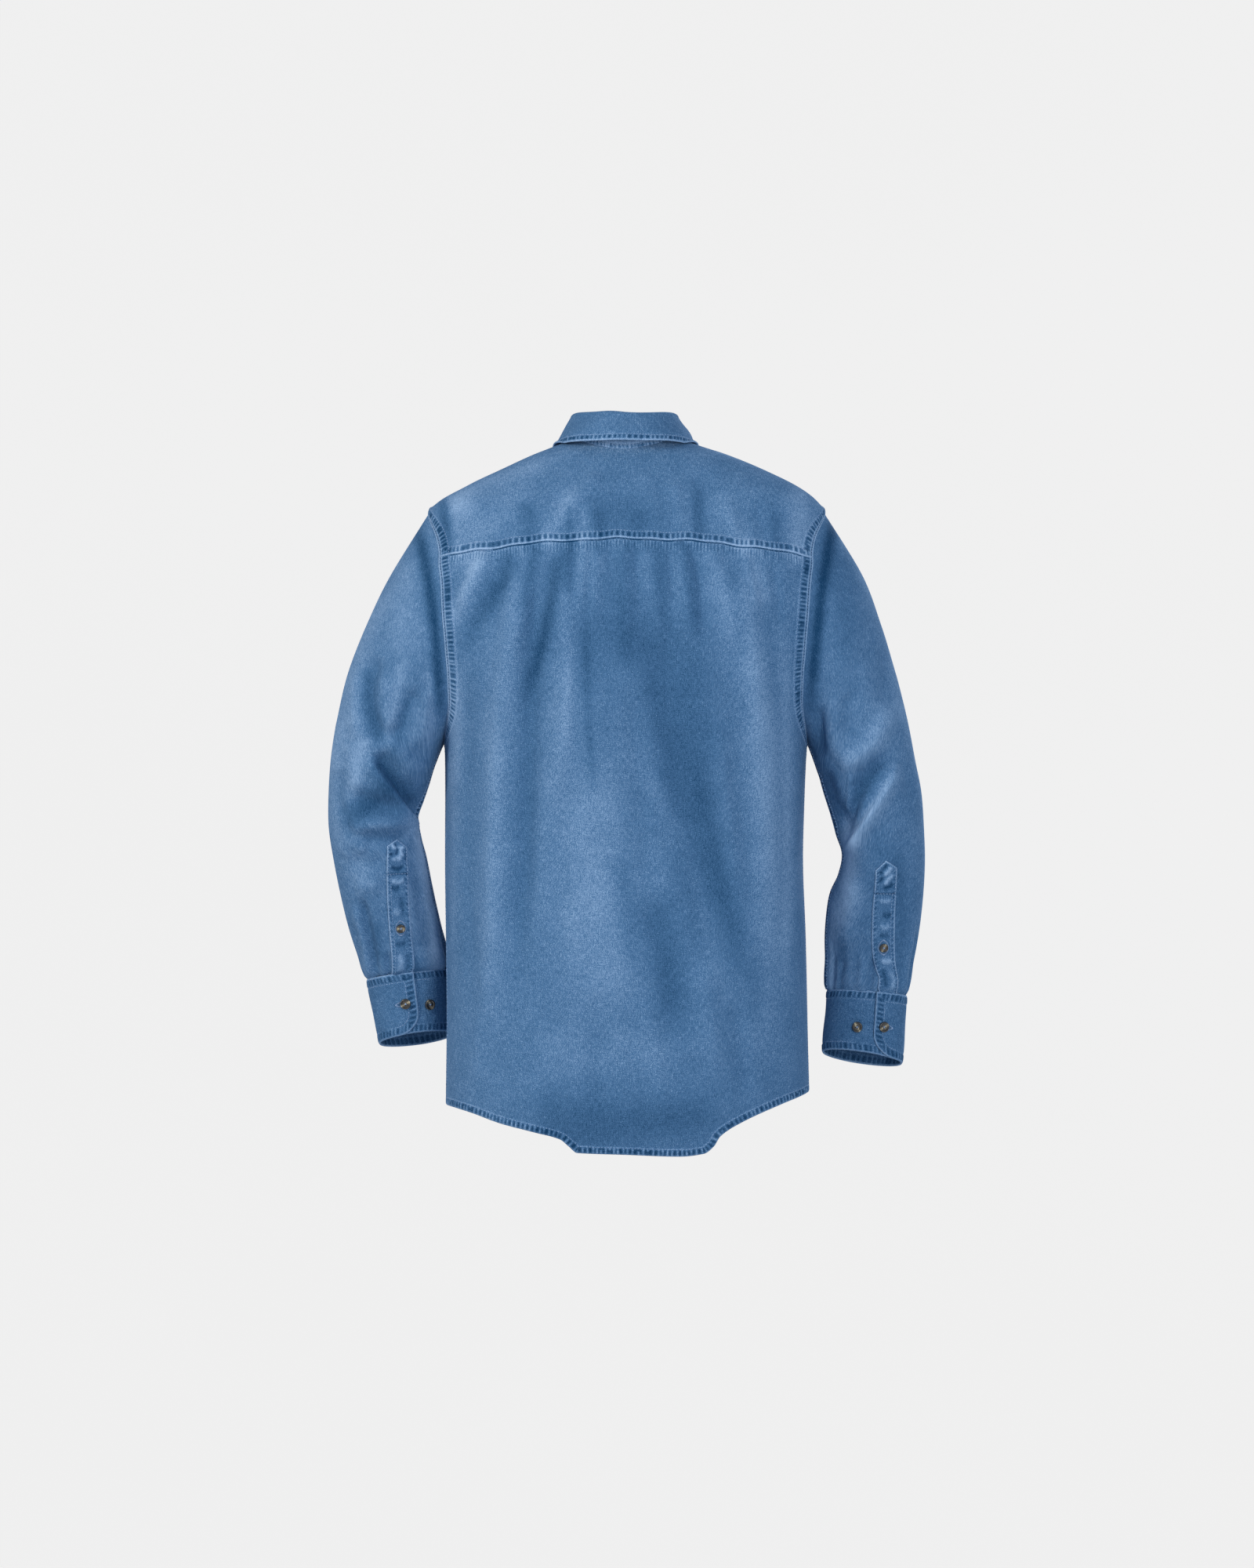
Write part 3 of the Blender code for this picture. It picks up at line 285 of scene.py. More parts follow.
def middleYAt(z):
    return (backAt(z) + frontAt(z)) / 2


def halfDepthAt(z):
    return (backAt(z) - frontAt(z)) / 2


def trunkLevel(points):
    x, y, z = points[..., 0], points[..., 1], points[..., 2]
    power = squarenessAt(z)
    across = (np.abs(x - middleXAt(z)) / halfWidthAt(z)) ** power
    deep = (np.abs(y - middleYAt(z)) / halfDepthAt(z)) ** power
    return (across + deep) ** (1 / power) - 1


def trunkSlope(points):
    reach = 0.5
    return np.stack(
        [(trunkLevel(points + s) - trunkLevel(points - s)) / (2 * reach) for s in np.eye(3) * reach],
        axis=-1,
    )


def trunkNormal(points):
    return unit(trunkSlope(points))


def ontoTrunk(points, rounds=6):
    for _ in range(rounds):
        slope = trunkSlope(points)
        points = points - (trunkLevel(points) / (slope**2).sum(-1))[..., None] * slope
    return points


def trunkRingPoint(turn, z):
    power = squarenessAt(z)
    across = (np.abs(np.cos(turn)) / halfWidthAt(z)) ** power
    deep = (np.abs(np.sin(turn)) / halfDepthAt(z)) ** power
    radius = (across + deep) ** (-1 / power)
    return pointOf(middleXAt(z) + radius * np.cos(turn), middleYAt(z) + radius * np.sin(turn), z)


def trunkAtX(x, z, face):
    power = squarenessAt(z)
    across = np.clip(np.abs(x - middleXAt(z)) / halfWidthAt(z), 0, 1)
    deep = (1 - across**power) ** (1 / power)
    return pointOf(x, middleYAt(z) + face * halfDepthAt(z) * deep, z)


def trunkAtY(y, z, side):
    power = squarenessAt(z)
    across = (1 - (np.abs(y - middleYAt(z)) / halfDepthAt(z)) ** power) ** (1 / power)
    return pointOf(middleXAt(z) + side * halfWidthAt(z) * across, y, z)


def trunkUnder(x, y):  # the cloth of the shoulders at a place in the plan
    low, high = np.full(np.shape(x), -112.0), np.full(np.shape(x), 19.0)
    for _ in range(40):
        middle = (low + high) / 2
        outside = trunkLevel(pointOf(x, y, middle)) > 0
        high = np.where(outside, middle, high)
        low = np.where(outside, low, middle)
    return pointOf(x, y, (low + high) / 2)


# Seam lines
armholeMiddle = (trunk["shoulderTip"] + trunk["armpit"]) / 2
armholeHalf = (trunk["shoulderTip"] - trunk["armpit"]) / 2
bandTurnAtNeck = math.asin(trunk["bandHalfWidth"] / trunk["neckHalfWidth"])
bandTurnAtHem = math.atan(trunk["bandHalfWidth"] / float(halfDepthAt(hemFrontAt(0))))


def armholeTurnAt(z):
    return math.acos((z - armholeMiddle) / armholeHalf)


def armholePoint(turn, side):  # 0 at the shoulder tip, over the back to the armpit
    reach = np.where(np.sin(turn) > 0, trunk["armholeBack"], trunk["armholeFront"])
    y = trunk["armholeY"] + reach * np.sin(turn)
    return trunkAtY(y, armholeMiddle + armholeHalf * np.cos(turn), side)


yokeBackTurn = armholeTurnAt(trunk["yokeEnd"])
yokeFrontTurn = -math.asin((trunk["armholeY"] - trunk["yokeFrontY"]) / trunk["armholeFront"])


def neckPoint(turn):  # 0 at the wearer's left, a quarter at the back
    return trunkUnder(
        trunk["neckHalfWidth"] * np.cos(turn), trunk["neckY"] + trunk["neckHalfDepth"] * np.sin(turn)
    )


def yokeBackSeam(share):
    left, right = (armholePoint(yokeBackTurn, side)[0] for side in (1, -1))
    z = trunk["yokeMiddle"] + (trunk["yokeEnd"] - trunk["yokeMiddle"]) * (2 * share - 1) ** 2
    return trunkAtX(left + (right - left) * share, z, 1)


def yokeFrontSeam(share, side):
    start = armholePoint(yokeFrontTurn, side)
    endX = side * trunk["neckHalfWidth"] * math.cos(trunk["neckCorner"])
    endY = trunk["neckY"] + trunk["neckHalfDepth"] * math.sin(trunk["neckCorner"])
    return trunkUnder(start[0] + (endX - start[0]) * share, start[1] + (endY - start[1]) * share)


def hemPoint(turn, face):
    hemAt = hemBackAt if face > 0 else hemFrontAt
    z = np.full(np.shape(turn), -740.0)
    for _ in range(6):
        z = hemAt(trunkRingPoint(turn, z)[..., 0])
    return trunkRingPoint(turn, z)


def sideSeam(side, rows):  # from the hem up to the armpit
    foot = hemPoint(np.array(0.0 if side > 0 else math.pi), 1)[2]
    z = np.linspace(foot, trunk["armpit"], rows + 1)
    return trunkAtY(middleYAt(z), z, side)


# Folds: soft ridges, or troughs where the height is negative.
# start x, start z, middle x, middle z, end x, end z, width, height and, for a fold that lies over,
# how much wider it is on one side of its line than on the other
backFolds = (
    (150, -114, 164, -142, 186, -184, 9, 4.5),
    (132, -128, 150, -170, 176, -216, 10, -4.0),
    (112, -112, 142, -370, 148, -672, 14, 6.5),
    (96, -112, 104, -300, 122, -650, 12, -6.0),
    (62, -108, 66, -250, 74, -420, 12, 4.5),
    (44, -104, 46, -145, 50, -210, 8, 2.5),
    (30, -103, 33, -150, 34, -210, 8, 2.5),
    (4, -102, 1, -150, -4, -215, 8, 3.0),
    (-30, -103, -34, -165, -38, -250, 10, 2.5),
    (-58, -104, -66, -160, -74, -225, 9, 3.5),
    (-92, -106, -106, -150, -118, -230, 11, 3.5),
    (-28, -140, -64, -360, -118, -590, 26, -7.0),
    (-24, -490, -44, -560, -60, -670, 16, -3.5),
    (34, -200, 30, -430, 12, -690, 46, 7.0),
    (-118, -116, -146, -280, -160, -590, 17, 6.5),
    (-86, -560, -92, -625, -104, -700, 13, 3.0),
)
yokeFolds = (
    (24, -26, 56, -60, 92, -100, 10, 3.0),
    (-82, -22, -86, -62, -88, -101, 13, -3.0),
    (40, -55, 36, -80, 34, -102, 9, 2.0),
)
frontFolds = (
    (165, -110, 140, -230, 128, -420, 17, 5.5),
    (92, -150, 84, -330, 96, -620, 19, 5.5),
    (128, -430, 140, -560, 158, -700, 15, 4.5),
    (52, -420, 60, -560, 74, -730, 16, 3.5),
    (-160, -105, -138, -240, -118, -450, 17, 5.5),
    (-88, -170, -94, -340, -84, -560, 19, 5.0),
    (-140, -400, -152, -540, -166, -680, 16, 4.5),
    (-54, -500, -66, -620, -78, -735, 15, 3.5),
    (120, -80, 118, -140, 104, -215, 13, -3.0),
    (-118, -80, -116, -150, -100, -230, 13, -3.0),
)
# Smaller folds that only the cloth's surface has, laid over the ones above
backCreases = (
    (124, -116, 136, -160, 150, -206, 6, -1.6),
    (94, -110, 104, -158, 118, -214, 6, 1.6),
    (80, -108, 84, -140, 88, -190, 5, -2.2),
    (56, -106, 57, -140, 60, -186, 4, -1.4),
    (38, -104, 39, -136, 41, -182, 4, -1.6),
    (18, -103, 17, -128, 14, -170, 4, -1.4),
    (-10, -103, -13, -134, -18, -176, 4, -1.6),
    (-20, -103, -23, -126, -25, -158, 3, 1.2),
    (-46, -104, -51, -138, -54, -186, 4.5, -1.8),
    (-72, -105, -78, -134, -84, -176, 4, -1.4),
    (-80, -106, -84, -150, -88, -214, 6, -2.0),
    (-132, -114, -138, -148, -146, -190, 5, 1.4),
    (-160, -126, -166, -160, -170, -206, 5, -1.4),
    (174, -220, 174, -400, 168, -640, 9, -1.5),
    (84, -300, 88, -420, 96, -560, 12, 2.0),
    (-6, -260, -16, -380, -30, -520, 12, -1.8),
    (46, -380, 52, -500, 64, -640, 14, 2.0),
    (-100, -300, -112, -400, -130, -520, 9, 2.2),
    (-20, -600, -32, -670, -44, -750, 12, 2.0),
    (28, -590, 30, -670, 30, -750, 14, -2.2),
    (150, -560, 160, -640, 166, -716, 10, 2.0),
    (-120, -600, -126, -660, -132, -730, 10, -2.0),
)
yokeCreases = (
    (-20, -20, -28, -58, -32, -96, 9, 1.4),
    (120, -60, 134, -84, 150, -106, 8, 1.4),
    (70, -52, 74, -78, 78, -100, 7, -1.5),
    (-52, -30, -58, -66, -60, -100, 8, 1.3),
    (-110, -56, -118, -84, -124, -104, 8, 1.6),
    (-140, -66, -150, -90, -156, -112, 7, -1.4),
    (10, -40, 6, -70, 2, -98, 6, -1.0),
)
frontCreases = (
    (150, -100, 128, -180, 116, -280, 8, -2.0),
    (70, -110, 66, -200, 62, -330, 9, 1.8),
    (36, -180, 40, -330, 44, -500, 10, -1.8),
    (110, -300, 116, -420, 120, -560, 9, -2.0),
    (150, -340, 156, -420, 160, -520, 8, 1.8),
    (-140, -100, -124, -190, -112, -300, 8, -2.0),
    (-64, -120, -62, -220, -58, -340, 9, 1.8),
    (-36, -260, -40, -400, -44, -560, 10, -1.6),
    (-112, -320, -118, -440, -124, -580, 9, -2.0),
    (-150, -330, -158, -430, -162, -540, 8, 1.8),
    (100, -640, 108, -690, 116, -746, 9, 1.8),
    (-96, -640, -104, -690, -112, -742, 9, 1.8),
)
# Painted shade and painted light along the folds, creases and seams, as lines like the folds above with an amount in
# the place of a height
backShades = (
    (60, -300, 34, -470, 12, -650, 44, 0.12),
    (44, -150, 30, -280, 22, -390, 30, -0.40),
    (10, -130, -62, -350, -112, -590, 27, -0.38),
    (-4, -330, -70, -450, -116, -640, 10, 0.30),
    (-70, -330, -100, -450, -142, -620, 11, -0.34),
    (12, -440, -2, -510, -14, -600, 13, -0.32),
    (-30, -480, -46, -560, -56, -650, 20, -0.45),
    (-100, -120, -146, -300, -160, -600, 18, 0.30),
    (-172, -190, -178, -360, -176, -640, 9, 0.45),
    (-148, -500, -158, -590, -152, -690, 12, 0.28),
    (104, -150, 104, -300, 118, -620, 11, -0.20),
    (150, -190, 144, -400, 146, -640, 12, 0.10),
    (190, -190, 189, -350, 190, -650, 7, 0.30),
    (184, -230, 184, -310, 186, -390, 8, 0.30),
    (120, -728, 0, -738, -130, -728, 26, -0.55),
    (110, -752, 54, -757, -10, -757, 12, -0.35),
    (-70, -170, -78, -260, -88, -380, 22, -0.26),
    (120, -655, 30, -668, -70, -660, 22, 0.25),
    (149, -102, 173, -152, 199, -212, 9, 0.60),
    (124, -108, 136, -150, 156, -192, 8, -0.50),
    (136, -138, 160, -180, 178, -234, 9, -0.35),
    (70, -102, 85, -190, 114, -290, 8, -0.90),
    (96, -102, 104, -140, 113, -184, 6, -0.50),
    (60, -98, 62, -130, 63, -172, 7, -0.60),
    (44, -180, 42, -270, 33, -392, 5, -0.42),
    (60, -200, 62, -270, 66, -345, 5, 0.25),
    (4, -96, 3, -160, 0, -260, 10, -0.42),
    (-34, -96, -38, -150, -46, -205, 8, -0.45),
    (-66, -96, -70, -150, -80, -220, 8, -0.48),
    (-128, -94, -144, -140, -158, -184, 12, 0.38),
    (-112, -124, -121, -178, -130, -245, 9, -0.38),
)
yokeShades = (
    (206, -74, 160, -40, 40, 2, 14, 0.48),
    (186, -30, 176, -90, 170, -150, 19, 0.46),
    (96, -36, 130, -66, 164, -108, 17, 0.28),
    (114, -54, 106, -84, 104, -120, 9, -0.50),
    (50, -38, 76, -76, 88, -122, 11, 0.42),
    (46, -62, 46, -88, 47, -124, 5, 0.36),
    (61, -60, 62, -88, 61, -124, 4, -0.40),
    (30, -64, 28, -92, 26, -124, 8, -0.45),
    (-14, -64, -14, -92, -14, -124, 12, -0.38),
    (-80, -34, -80, -74, -80, -120, 7, -0.42),
    (-90, -50, -118, -84, -134, -126, 16, 0.34),
    (60, -66, 0, -76, -62, -72, 22, -0.24),
    (202, -50, 198, -86, 196, -126, 6, -0.90),
    (-190, -34, -192, -86, -190, -140, 14, 0.72),
    (-163, -66, -165, -90, -164, -116, 6, -0.35),
    (-66, 8, 0, 3, 66, 8, 7, 0.5),  # painted light on the strip that shows under the collar, lifting the collar's shadow
)


def foldHeight(x, z, folds):
    lift = np.zeros(np.shape(x))
    share = np.linspace(0, 1, 13)
    for startX, startZ, middleX, middleZ, endX, endZ, width, height, *lean in folds:
        lineX = smoothLine((0, 0.5, 1), (startX, middleX, endX))(share)
        lineZ = smoothLine((0, 0.5, 1), (startZ, middleZ, endZ))(share)
        reach = 4 * width
        near = (x > lineX.min() - reach) & (x < lineX.max() + reach)
        near &= (z > lineZ.min() - reach) & (z < lineZ.max() + reach)
        if not near.any():
            continue
        nearX, nearZ = x[near], z[near]
        nearest = np.full(nearX.shape, 1e9)
        place = np.zeros(nearX.shape)
        beside = np.zeros(nearX.shape)
        for i in range(len(share) - 1):
            runX, runZ = lineX[i + 1] - lineX[i], lineZ[i + 1] - lineZ[i]
            along = ((nearX - lineX[i]) * runX + (nearZ - lineZ[i]) * runZ) / (runX**2 + runZ**2)
            along = np.clip(along, 0, 1)
            away = np.hypot(nearX - lineX[i] - along * runX, nearZ - lineZ[i] - along * runZ)
            closer = away < nearest
            nearest = np.where(closer, away, nearest)
            place = np.where(closer, share[i] + along / (len(share) - 1), place)
            turned = runX * (nearZ - lineZ[i]) - runZ * (nearX - lineX[i])
            beside = np.where(closer, np.sign(turned), beside)
        fade = ease(0, 0.2, place) * (1 - ease(0.75, 1, place))
        wide = width * (1 + beside * lean[0]) if lean else width
        lift[near] += height * fade * np.exp(-((nearest / wide) ** 2))
    return lift


def overlapLift(x):  # how far the left front stands out over the right one
    return (trunk["cloth"] + trunk["layerGap"]) * (
        1 - ease(trunk["bandHalfWidth"] + 2, trunk["bandHalfWidth"] + 34, x)
    )


def trunkFolds(points):
    x, y, z = points[..., 0], points[..., 1], points[..., 2]
    reach = np.where(y > trunk["armholeY"], trunk["armholeBack"], trunk["armholeFront"])
    roundArmhole = np.hypot((z - armholeMiddle) / armholeHalf, (y - trunk["armholeY"]) / reach)
    lift = ease(5, 45, y) * foldHeight(x, z, backFolds + yokeFolds + backCreases + yokeCreases)
    lift += ease(5, 45, -y) * foldHeight(x, z, frontFolds + frontCreases)
    return ease(1.0, 1.22, roundArmhole) * lift


def trunkShades(points):
    x, y, z = points[..., 0], points[..., 1], points[..., 2]
    return foldHeight(x, z, backShades + yokeShades) * ease(5, 45, y)


# Materials


def linearColour(hexCode):
    parts = [int(hexCode[i : i + 2], 16) / 255 for i in (1, 3, 5)]
    return (*[p / 12.92 if p <= 0.04045 else ((p + 0.055) / 1.055) ** 2.4 for p in parts], 1)


# Settings are the node's own properties, its sockets by name or number, or the stops of a colour ramp
def addNode(tree, kind, settings=None, **links):
    node = tree.nodes.new(kind)
    for name, value in (settings or {}).items():
        if name == "stops":
            first, *between, last = value
            for stop, (place, colour) in zip(node.color_ramp.elements, (first, last)):
                stop.position, stop.color = place, linearColour(colour)
            for place, colour in between:
                node.color_ramp.elements.new(place).color = linearColour(colour)
        elif name in node.bl_rna.properties:
            setattr(node, name, value)
        else:
            node.inputs[int(name) if name.isdigit() else name].default_value = value
    for name, source in links.items():
        tree.links.new(source, node.inputs[int(name[1:]) if name[1:].isdigit() else name.replace("_", " ")])
    return node


def makeMaterial(name, paint, *choices):
    made = bpy.data.materials.new(name)
    made.use_nodes = True
    tree = made.node_tree
    tree.nodes.clear()
    addNode(tree, "ShaderNodeOutputMaterial", Surface=paint(tree, *choices).outputs[0])
    return made


denim = {
    "dark": "#103a5c",  # indigo that the washing left in the hollows, and the painted shade of folds and creases
    "middle": "#4c7399",
    "pale": "#9dbad9",  # worn crests and edges, and painted light on fold crests and sleeve edges
    "reverse": "#7d97b8",  # the weft side, which is mostly undyed
    "heather": 0.9 * mm,  # flecks of thick and thin thread, twice as coarse as the real ones
    "slub": 1.4 * mm,
    "twill": 1.8 * mm,  # real lines are 0.6 mm apart, drawn coarser so that they show
    "rumple": 16.0 * mm,
    "paleCrest": 0.045,  # wear and painted light for each millimetre that a fold stands out, painted shade where it sinks
}


# Washed cotton twill: matt, heathered by thick and thin indigo threads, paler where it rubs, and darker and paler
# where shade and light are painted into it
def paintDenim(tree, tone):
    uv = addNode(tree, "ShaderNodeUVMap", {"uv_map": "cut"}).outputs["UV"]
    place = addNode(tree, "ShaderNodeTexCoord").outputs["Object"]
    # per-point wear with painted shade and painted light
    wear = addNode(tree, "ShaderNodeAttribute", {"attribute_name": "wear"}).outputs["Fac"]
    slub, rumple = denim["slub"], denim["rumple"]
    warp, weft = (
        addNode(tree, "ShaderNodeMapping", {"Scale": (*scale, 1)}, Vector=uv).outputs["Vector"]
        for scale in ((1 / slub, 0.24 / slub), (0.3 / slub, 1 / slub))
    )
    slant = addNode(tree, "ShaderNodeMapping", {"Rotation": (0, 0, math.radians(27))}, Vector=uv)
    lines = addNode(tree, "ShaderNodeTexWave",
                    {"wave_type": "BANDS", "bands_direction": "X", "wave_profile": "SIN",
                     "Scale": 0.314 / denim["twill"], "Distortion": 1.5, "Detail": 1.0, "Detail Scale": 2.0},
                    Vector=slant.outputs["Vector"]).outputs["Fac"]
    heather, warpThreads, weftThreads, specks, patches, clouds, rumples, ripples = (
        addNode(tree, "ShaderNodeTexNoise", {"Scale": scale, "Detail": detail, "Roughness": 0.6},
                Vector=vector).outputs["Fac"]
        for vector, scale, detail in (
            (uv, 1 / denim["heather"], 1.0), (warp, 1.0, 1.0), (weft, 1.0, 1.0), (place, 150.0, 2.0),
            (place, 34.0, 4.0), (place, 9.0, 2.0), (place, 1 / rumple, 2.0), (place, 3.4 / rumple, 1.0),
        )
    )

    def added(source, weight, start):  # start + (source - 0.5) * weight
        scaled = addNode(tree, "ShaderNodeMath",
                         {"operation": "MULTIPLY_ADD", "1": weight, "2": -0.5 * weight}, _0=source).outputs[0]
        return addNode(tree, "ShaderNodeMath", {"operation": "ADD"}, _0=scaled, _1=start).outputs[0]

    amount = addNode(tree, "ShaderNodeMath",
                     {"operation": "MULTIPLY_ADD", "1": 0.30, "2": tone}, _0=wear).outputs[0]
    for source, weight in ((heather, 1.0), (warpThreads, 0.44), (weftThreads, 0.34), (lines, 0.07),
                           (specks, 0.14), (patches, 0.20), (clouds, 0.10)):
        amount = added(source, weight, amount)
    stops = ((0.0, denim["dark"]), (0.5, denim["middle"]), (1.0, denim["pale"]))
    ramp = addNode(tree, "ShaderNodeValToRGB", {"stops": stops}, Fac=amount)

    # soft rumples that a hand would feel, then the ribs of the twill over them
    rumpled = added(ripples, 0.5, rumples)
    soft = addNode(tree, "ShaderNodeBump", {"Strength": 0.35, "Distance": 0.0030},
                   Height=rumpled).outputs["Normal"]
    thread = addNode(tree, "ShaderNodeMath", {"operation": "ADD"}, _0=warpThreads, _1=weftThreads).outputs[0]
    relief = addNode(tree, "ShaderNodeMath", {"operation": "MULTIPLY_ADD", "1": 0.3}, _0=lines, _2=thread)
    bump = addNode(tree, "ShaderNodeBump", {"Strength": 0.35, "Distance": 0.0004},
                   Height=relief.outputs[0], Normal=soft)
    return addNode(tree, "ShaderNodeBsdfPrincipled",
                   {"Roughness": 0.9, "Sheen Weight": 0.18, "Sheen Roughness": 0.4,
                    "Sheen Tint": linearColour("#8fb6e2"), "Specular IOR Level": 0.05},
                   Base_Color=ramp.outputs["Color"], Normal=bump.outputs["Normal"])


# The back of the same twill: undyed weft with a little indigo showing through
def paintReverse(tree):
    uv = addNode(tree, "ShaderNodeUVMap", {"uv_map": "cut"}).outputs["UV"]
    weft = addNode(tree, "ShaderNodeMapping",
                   {"Scale": (0.13 / denim["slub"], 1 / denim["slub"], 1)}, Vector=uv)
    threads = addNode(tree, "ShaderNodeTexNoise", {"Scale": 1.0, "Detail": 3.0, "Roughness": 0.6},
                      Vector=weft.outputs["Vector"]).outputs["Fac"]
    stops = ((0.25, "#587495"), (0.75, denim["reverse"]))
    ramp = addNode(tree, "ShaderNodeValToRGB", {"stops": stops}, Fac=threads)
    bump = addNode(tree, "ShaderNodeBump", {"Strength": 0.3, "Distance": 0.0004}, Height=threads)
    return addNode(tree, "ShaderNodeBsdfPrincipled",
                   {"Roughness": 0.92, "Sheen Weight": 0.2, "Specular IOR Level": 0.15},
                   Base_Color=ramp.outputs["Color"], Normal=bump.outputs["Normal"])


# Spun cotton sewing thread, faded to a pale blue: soft, a little brighter than the cloth
def paintThread(tree):
    place = addNode(tree, "ShaderNodeTexCoord").outputs["Object"]
    fuzz = addNode(tree, "ShaderNodeTexNoise", {"Scale": 900.0, "Detail": 2.0}, Vector=place).outputs["Fac"]
    ramp = addNode(tree, "ShaderNodeValToRGB", {"stops": ((0.3, "#6485b0"), (0.7, "#a3bbda"))}, Fac=fuzz)
    bump = addNode(tree, "ShaderNodeBump", {"Strength": 0.3, "Distance": 0.0001}, Height=fuzz)
    return addNode(tree, "ShaderNodeBsdfPrincipled",
                   {"Roughness": 0.7, "Sheen Weight": 0.3, "Specular IOR Level": 0.3},
                   Base_Color=ramp.outputs["Color"], Normal=bump.outputs["Normal"])


# Cast polyester in a horn pattern: dark brown with a pale streak across and grey and tan clouds,
# softly polished
def paintHorn(tree):
    place = addNode(tree, "ShaderNodeTexCoord").outputs["Object"]
    stretched = addNode(tree, "ShaderNodeMapping",
                        {"Scale": (1.0, 1.0, 0.55), "Rotation": (0.3, 0.6, 0.5)}, Vector=place)
    clouds = addNode(tree, "ShaderNodeTexNoise",
                     {"Scale": 170.0, "Detail": 3.0, "Roughness": 0.55, "Distortion": 1.6},
                     Vector=stretched.outputs["Vector"]).outputs["Fac"]
    across = addNode(tree, "ShaderNodeAttribute", {"attribute_name": "across"}).outputs["Fac"]
    aside = addNode(tree, "ShaderNodeMath", {"operation": "ABSOLUTE"}, _0=across).outputs[0]
    streak = addNode(tree, "ShaderNodeMath", {"operation": "MULTIPLY_ADD", "1": -0.50, "2": 0.36}, _0=aside)
    mixed = addNode(tree, "ShaderNodeMath", {"operation": "MULTIPLY_ADD", "1": 0.6},
                    _0=clouds, _2=streak.outputs[0])
    stops = ((0.38, "#181614"), (0.50, "#2c2620"), (0.60, "#766b55"), (0.72, "#c2b594"))
    ramp = addNode(tree, "ShaderNodeValToRGB", {"stops": stops}, Fac=mixed.outputs[0])
    return addNode(tree, "ShaderNodeBsdfPrincipled",
                   {"Roughness": 0.32, "IOR": 1.55, "Coat Weight": 0.2, "Coat Roughness": 0.2},
                   Base_Color=ramp.outputs["Color"])


denimCloth = makeMaterial("washedDenim", paintDenim, 0.50)
denimTrim = makeMaterial("washedDenimTrim", paintDenim, 0.46)
denimInside = makeMaterial("denimReverse", paintReverse)
sewingThread = makeMaterial("cottonThread", paintThread)
hornPolyester = makeMaterial("hornPolyester", paintHorn)
print("materials made")

# Meshes from grids of points


def newPiece(name, mesh, finish):
    mesh.shade_smooth()
    mesh.materials.append(finish)
    piece = bpy.data.objects.new(name, mesh)
    bpy.context.scene.collection.objects.link(piece)
    return piece


# Every piece rides on the one body, and cloth and buttons stand for their node
def dressed(piece, slot="denim", node=None):
    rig.ride(piece, "root")
    if node:
        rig.replaces(piece, node)
    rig.slot(piece, slot)
    return piece


# A bmesh grid laid out over points, with its cut in the UV map and the wear and painted shade and light of each point
def makeSheet(name, points, outward, finish, wear, thickness=None, closeColumns=False,
              closeRows=False, inside=None, uvStart=(0.0, 0.0)):
    rows, columns = points.shape[:2]
    build = bmesh.new()
    build.loops.layers.uv.new("cut")
    bmesh.ops.create_grid(build, x_segments=columns - 1, y_segments=rows - 1, size=0.5, calc_uvs=True)
    mesh = bpy.data.meshes.new(name)
    build.to_mesh(mesh)
    build.free()
    mesh.vertices.foreach_set("co", (points * mm).astype(np.float32).ravel())
    across, upward = lengthAlong(points, 1) * mm, lengthAlong(points, 0) * mm
    across = across - across[:, columns // 2 : columns // 2 + 1]
    flat = np.stack([across + uvStart[0], upward + uvStart[1]], axis=-1).reshape(-1, 2)
    corner = np.zeros(len(mesh.loops), np.int32)
    mesh.loops.foreach_get("vertex_index", corner)
    mesh.uv_layers[0].data.foreach_set("uv", flat[corner].astype(np.float32).ravel())
    wornAndShaded = np.broadcast_to(wear, (rows, columns)).astype(np.float32)
    # real wear together with painted shade and painted light; the denim's colour ramp reads it
    mesh.attributes.new("wear", "FLOAT", "POINT").data.foreach_set("value", wornAndShaded.ravel())
    mesh.update()
    faceWay = np.zeros(len(mesh.polygons) * 3, np.float32)
    mesh.polygons.foreach_get("normal", faceWay)
    wanted = (outward[:-1, :-1] + outward[1:, 1:]).reshape(-1, 3)
    if (faceWay.reshape(-1, 3) * wanted).sum() < 0:
        mesh.flip_normals()
    if closeColumns or closeRows:
        build = bmesh.new()
        build.from_mesh(mesh)
        edge = [v for v in build.verts if v.is_boundary]
        bmesh.ops.remove_doubles(build, verts=edge, dist=1e-6)
        if closeRows:  # a seam's ends are closed too, and a sleeve's stay open
            bmesh.ops.holes_fill(build, edges=[e for e in build.edges if e.is_boundary], sides=0)
        build.to_mesh(mesh)
        build.free()
    piece = newPiece(name, mesh, finish)
    if thickness:
        wall = piece.modifiers.new("thickness", "SOLIDIFY")
        wall.thickness = thickness * mm
        wall.offset = -1.0
        if inside:
            mesh.materials.append(inside)
            wall.material_offset = 1
    return piece


# Uneven little pulls along a stitched edge: below 0 in the hollows and up to 0.55 on the crests
def pulls(along, pitch, seed):
    dice = np.random.default_rng(seed)
    count = int(along.max() / pitch * 1.5) + 12
    places = along.min() - 3 * pitch + np.cumsum(dice.uniform(0.78, 1.24, count)) * pitch
    strengths = dice.uniform(0.62, 1.0, count) * np.where(dice.random(count) < 0.07, 0.3, 1.0)
    spot = np.clip(np.searchsorted(places, along), 1, count - 1)
    total = np.zeros(along.shape)
    for shift in (-1, 0, 1):
        at = np.clip(spot + shift, 0, count - 1)
        total += strengths[at] * np.exp(-(((along - places[at]) / (0.27 * pitch)) ** 2))
    return np.clip(total, 0, 1) - 0.45


# Stitches: one short bowed thread, repeated along every sewn line, and each a little askew
stitch = {"length": 2.4, "pitch": 3.3, "radius": 0.30, "sides": 5, "bow": 0.26, "askew": 0.1,
          "sunk": 0.35}  # into doubled cloth


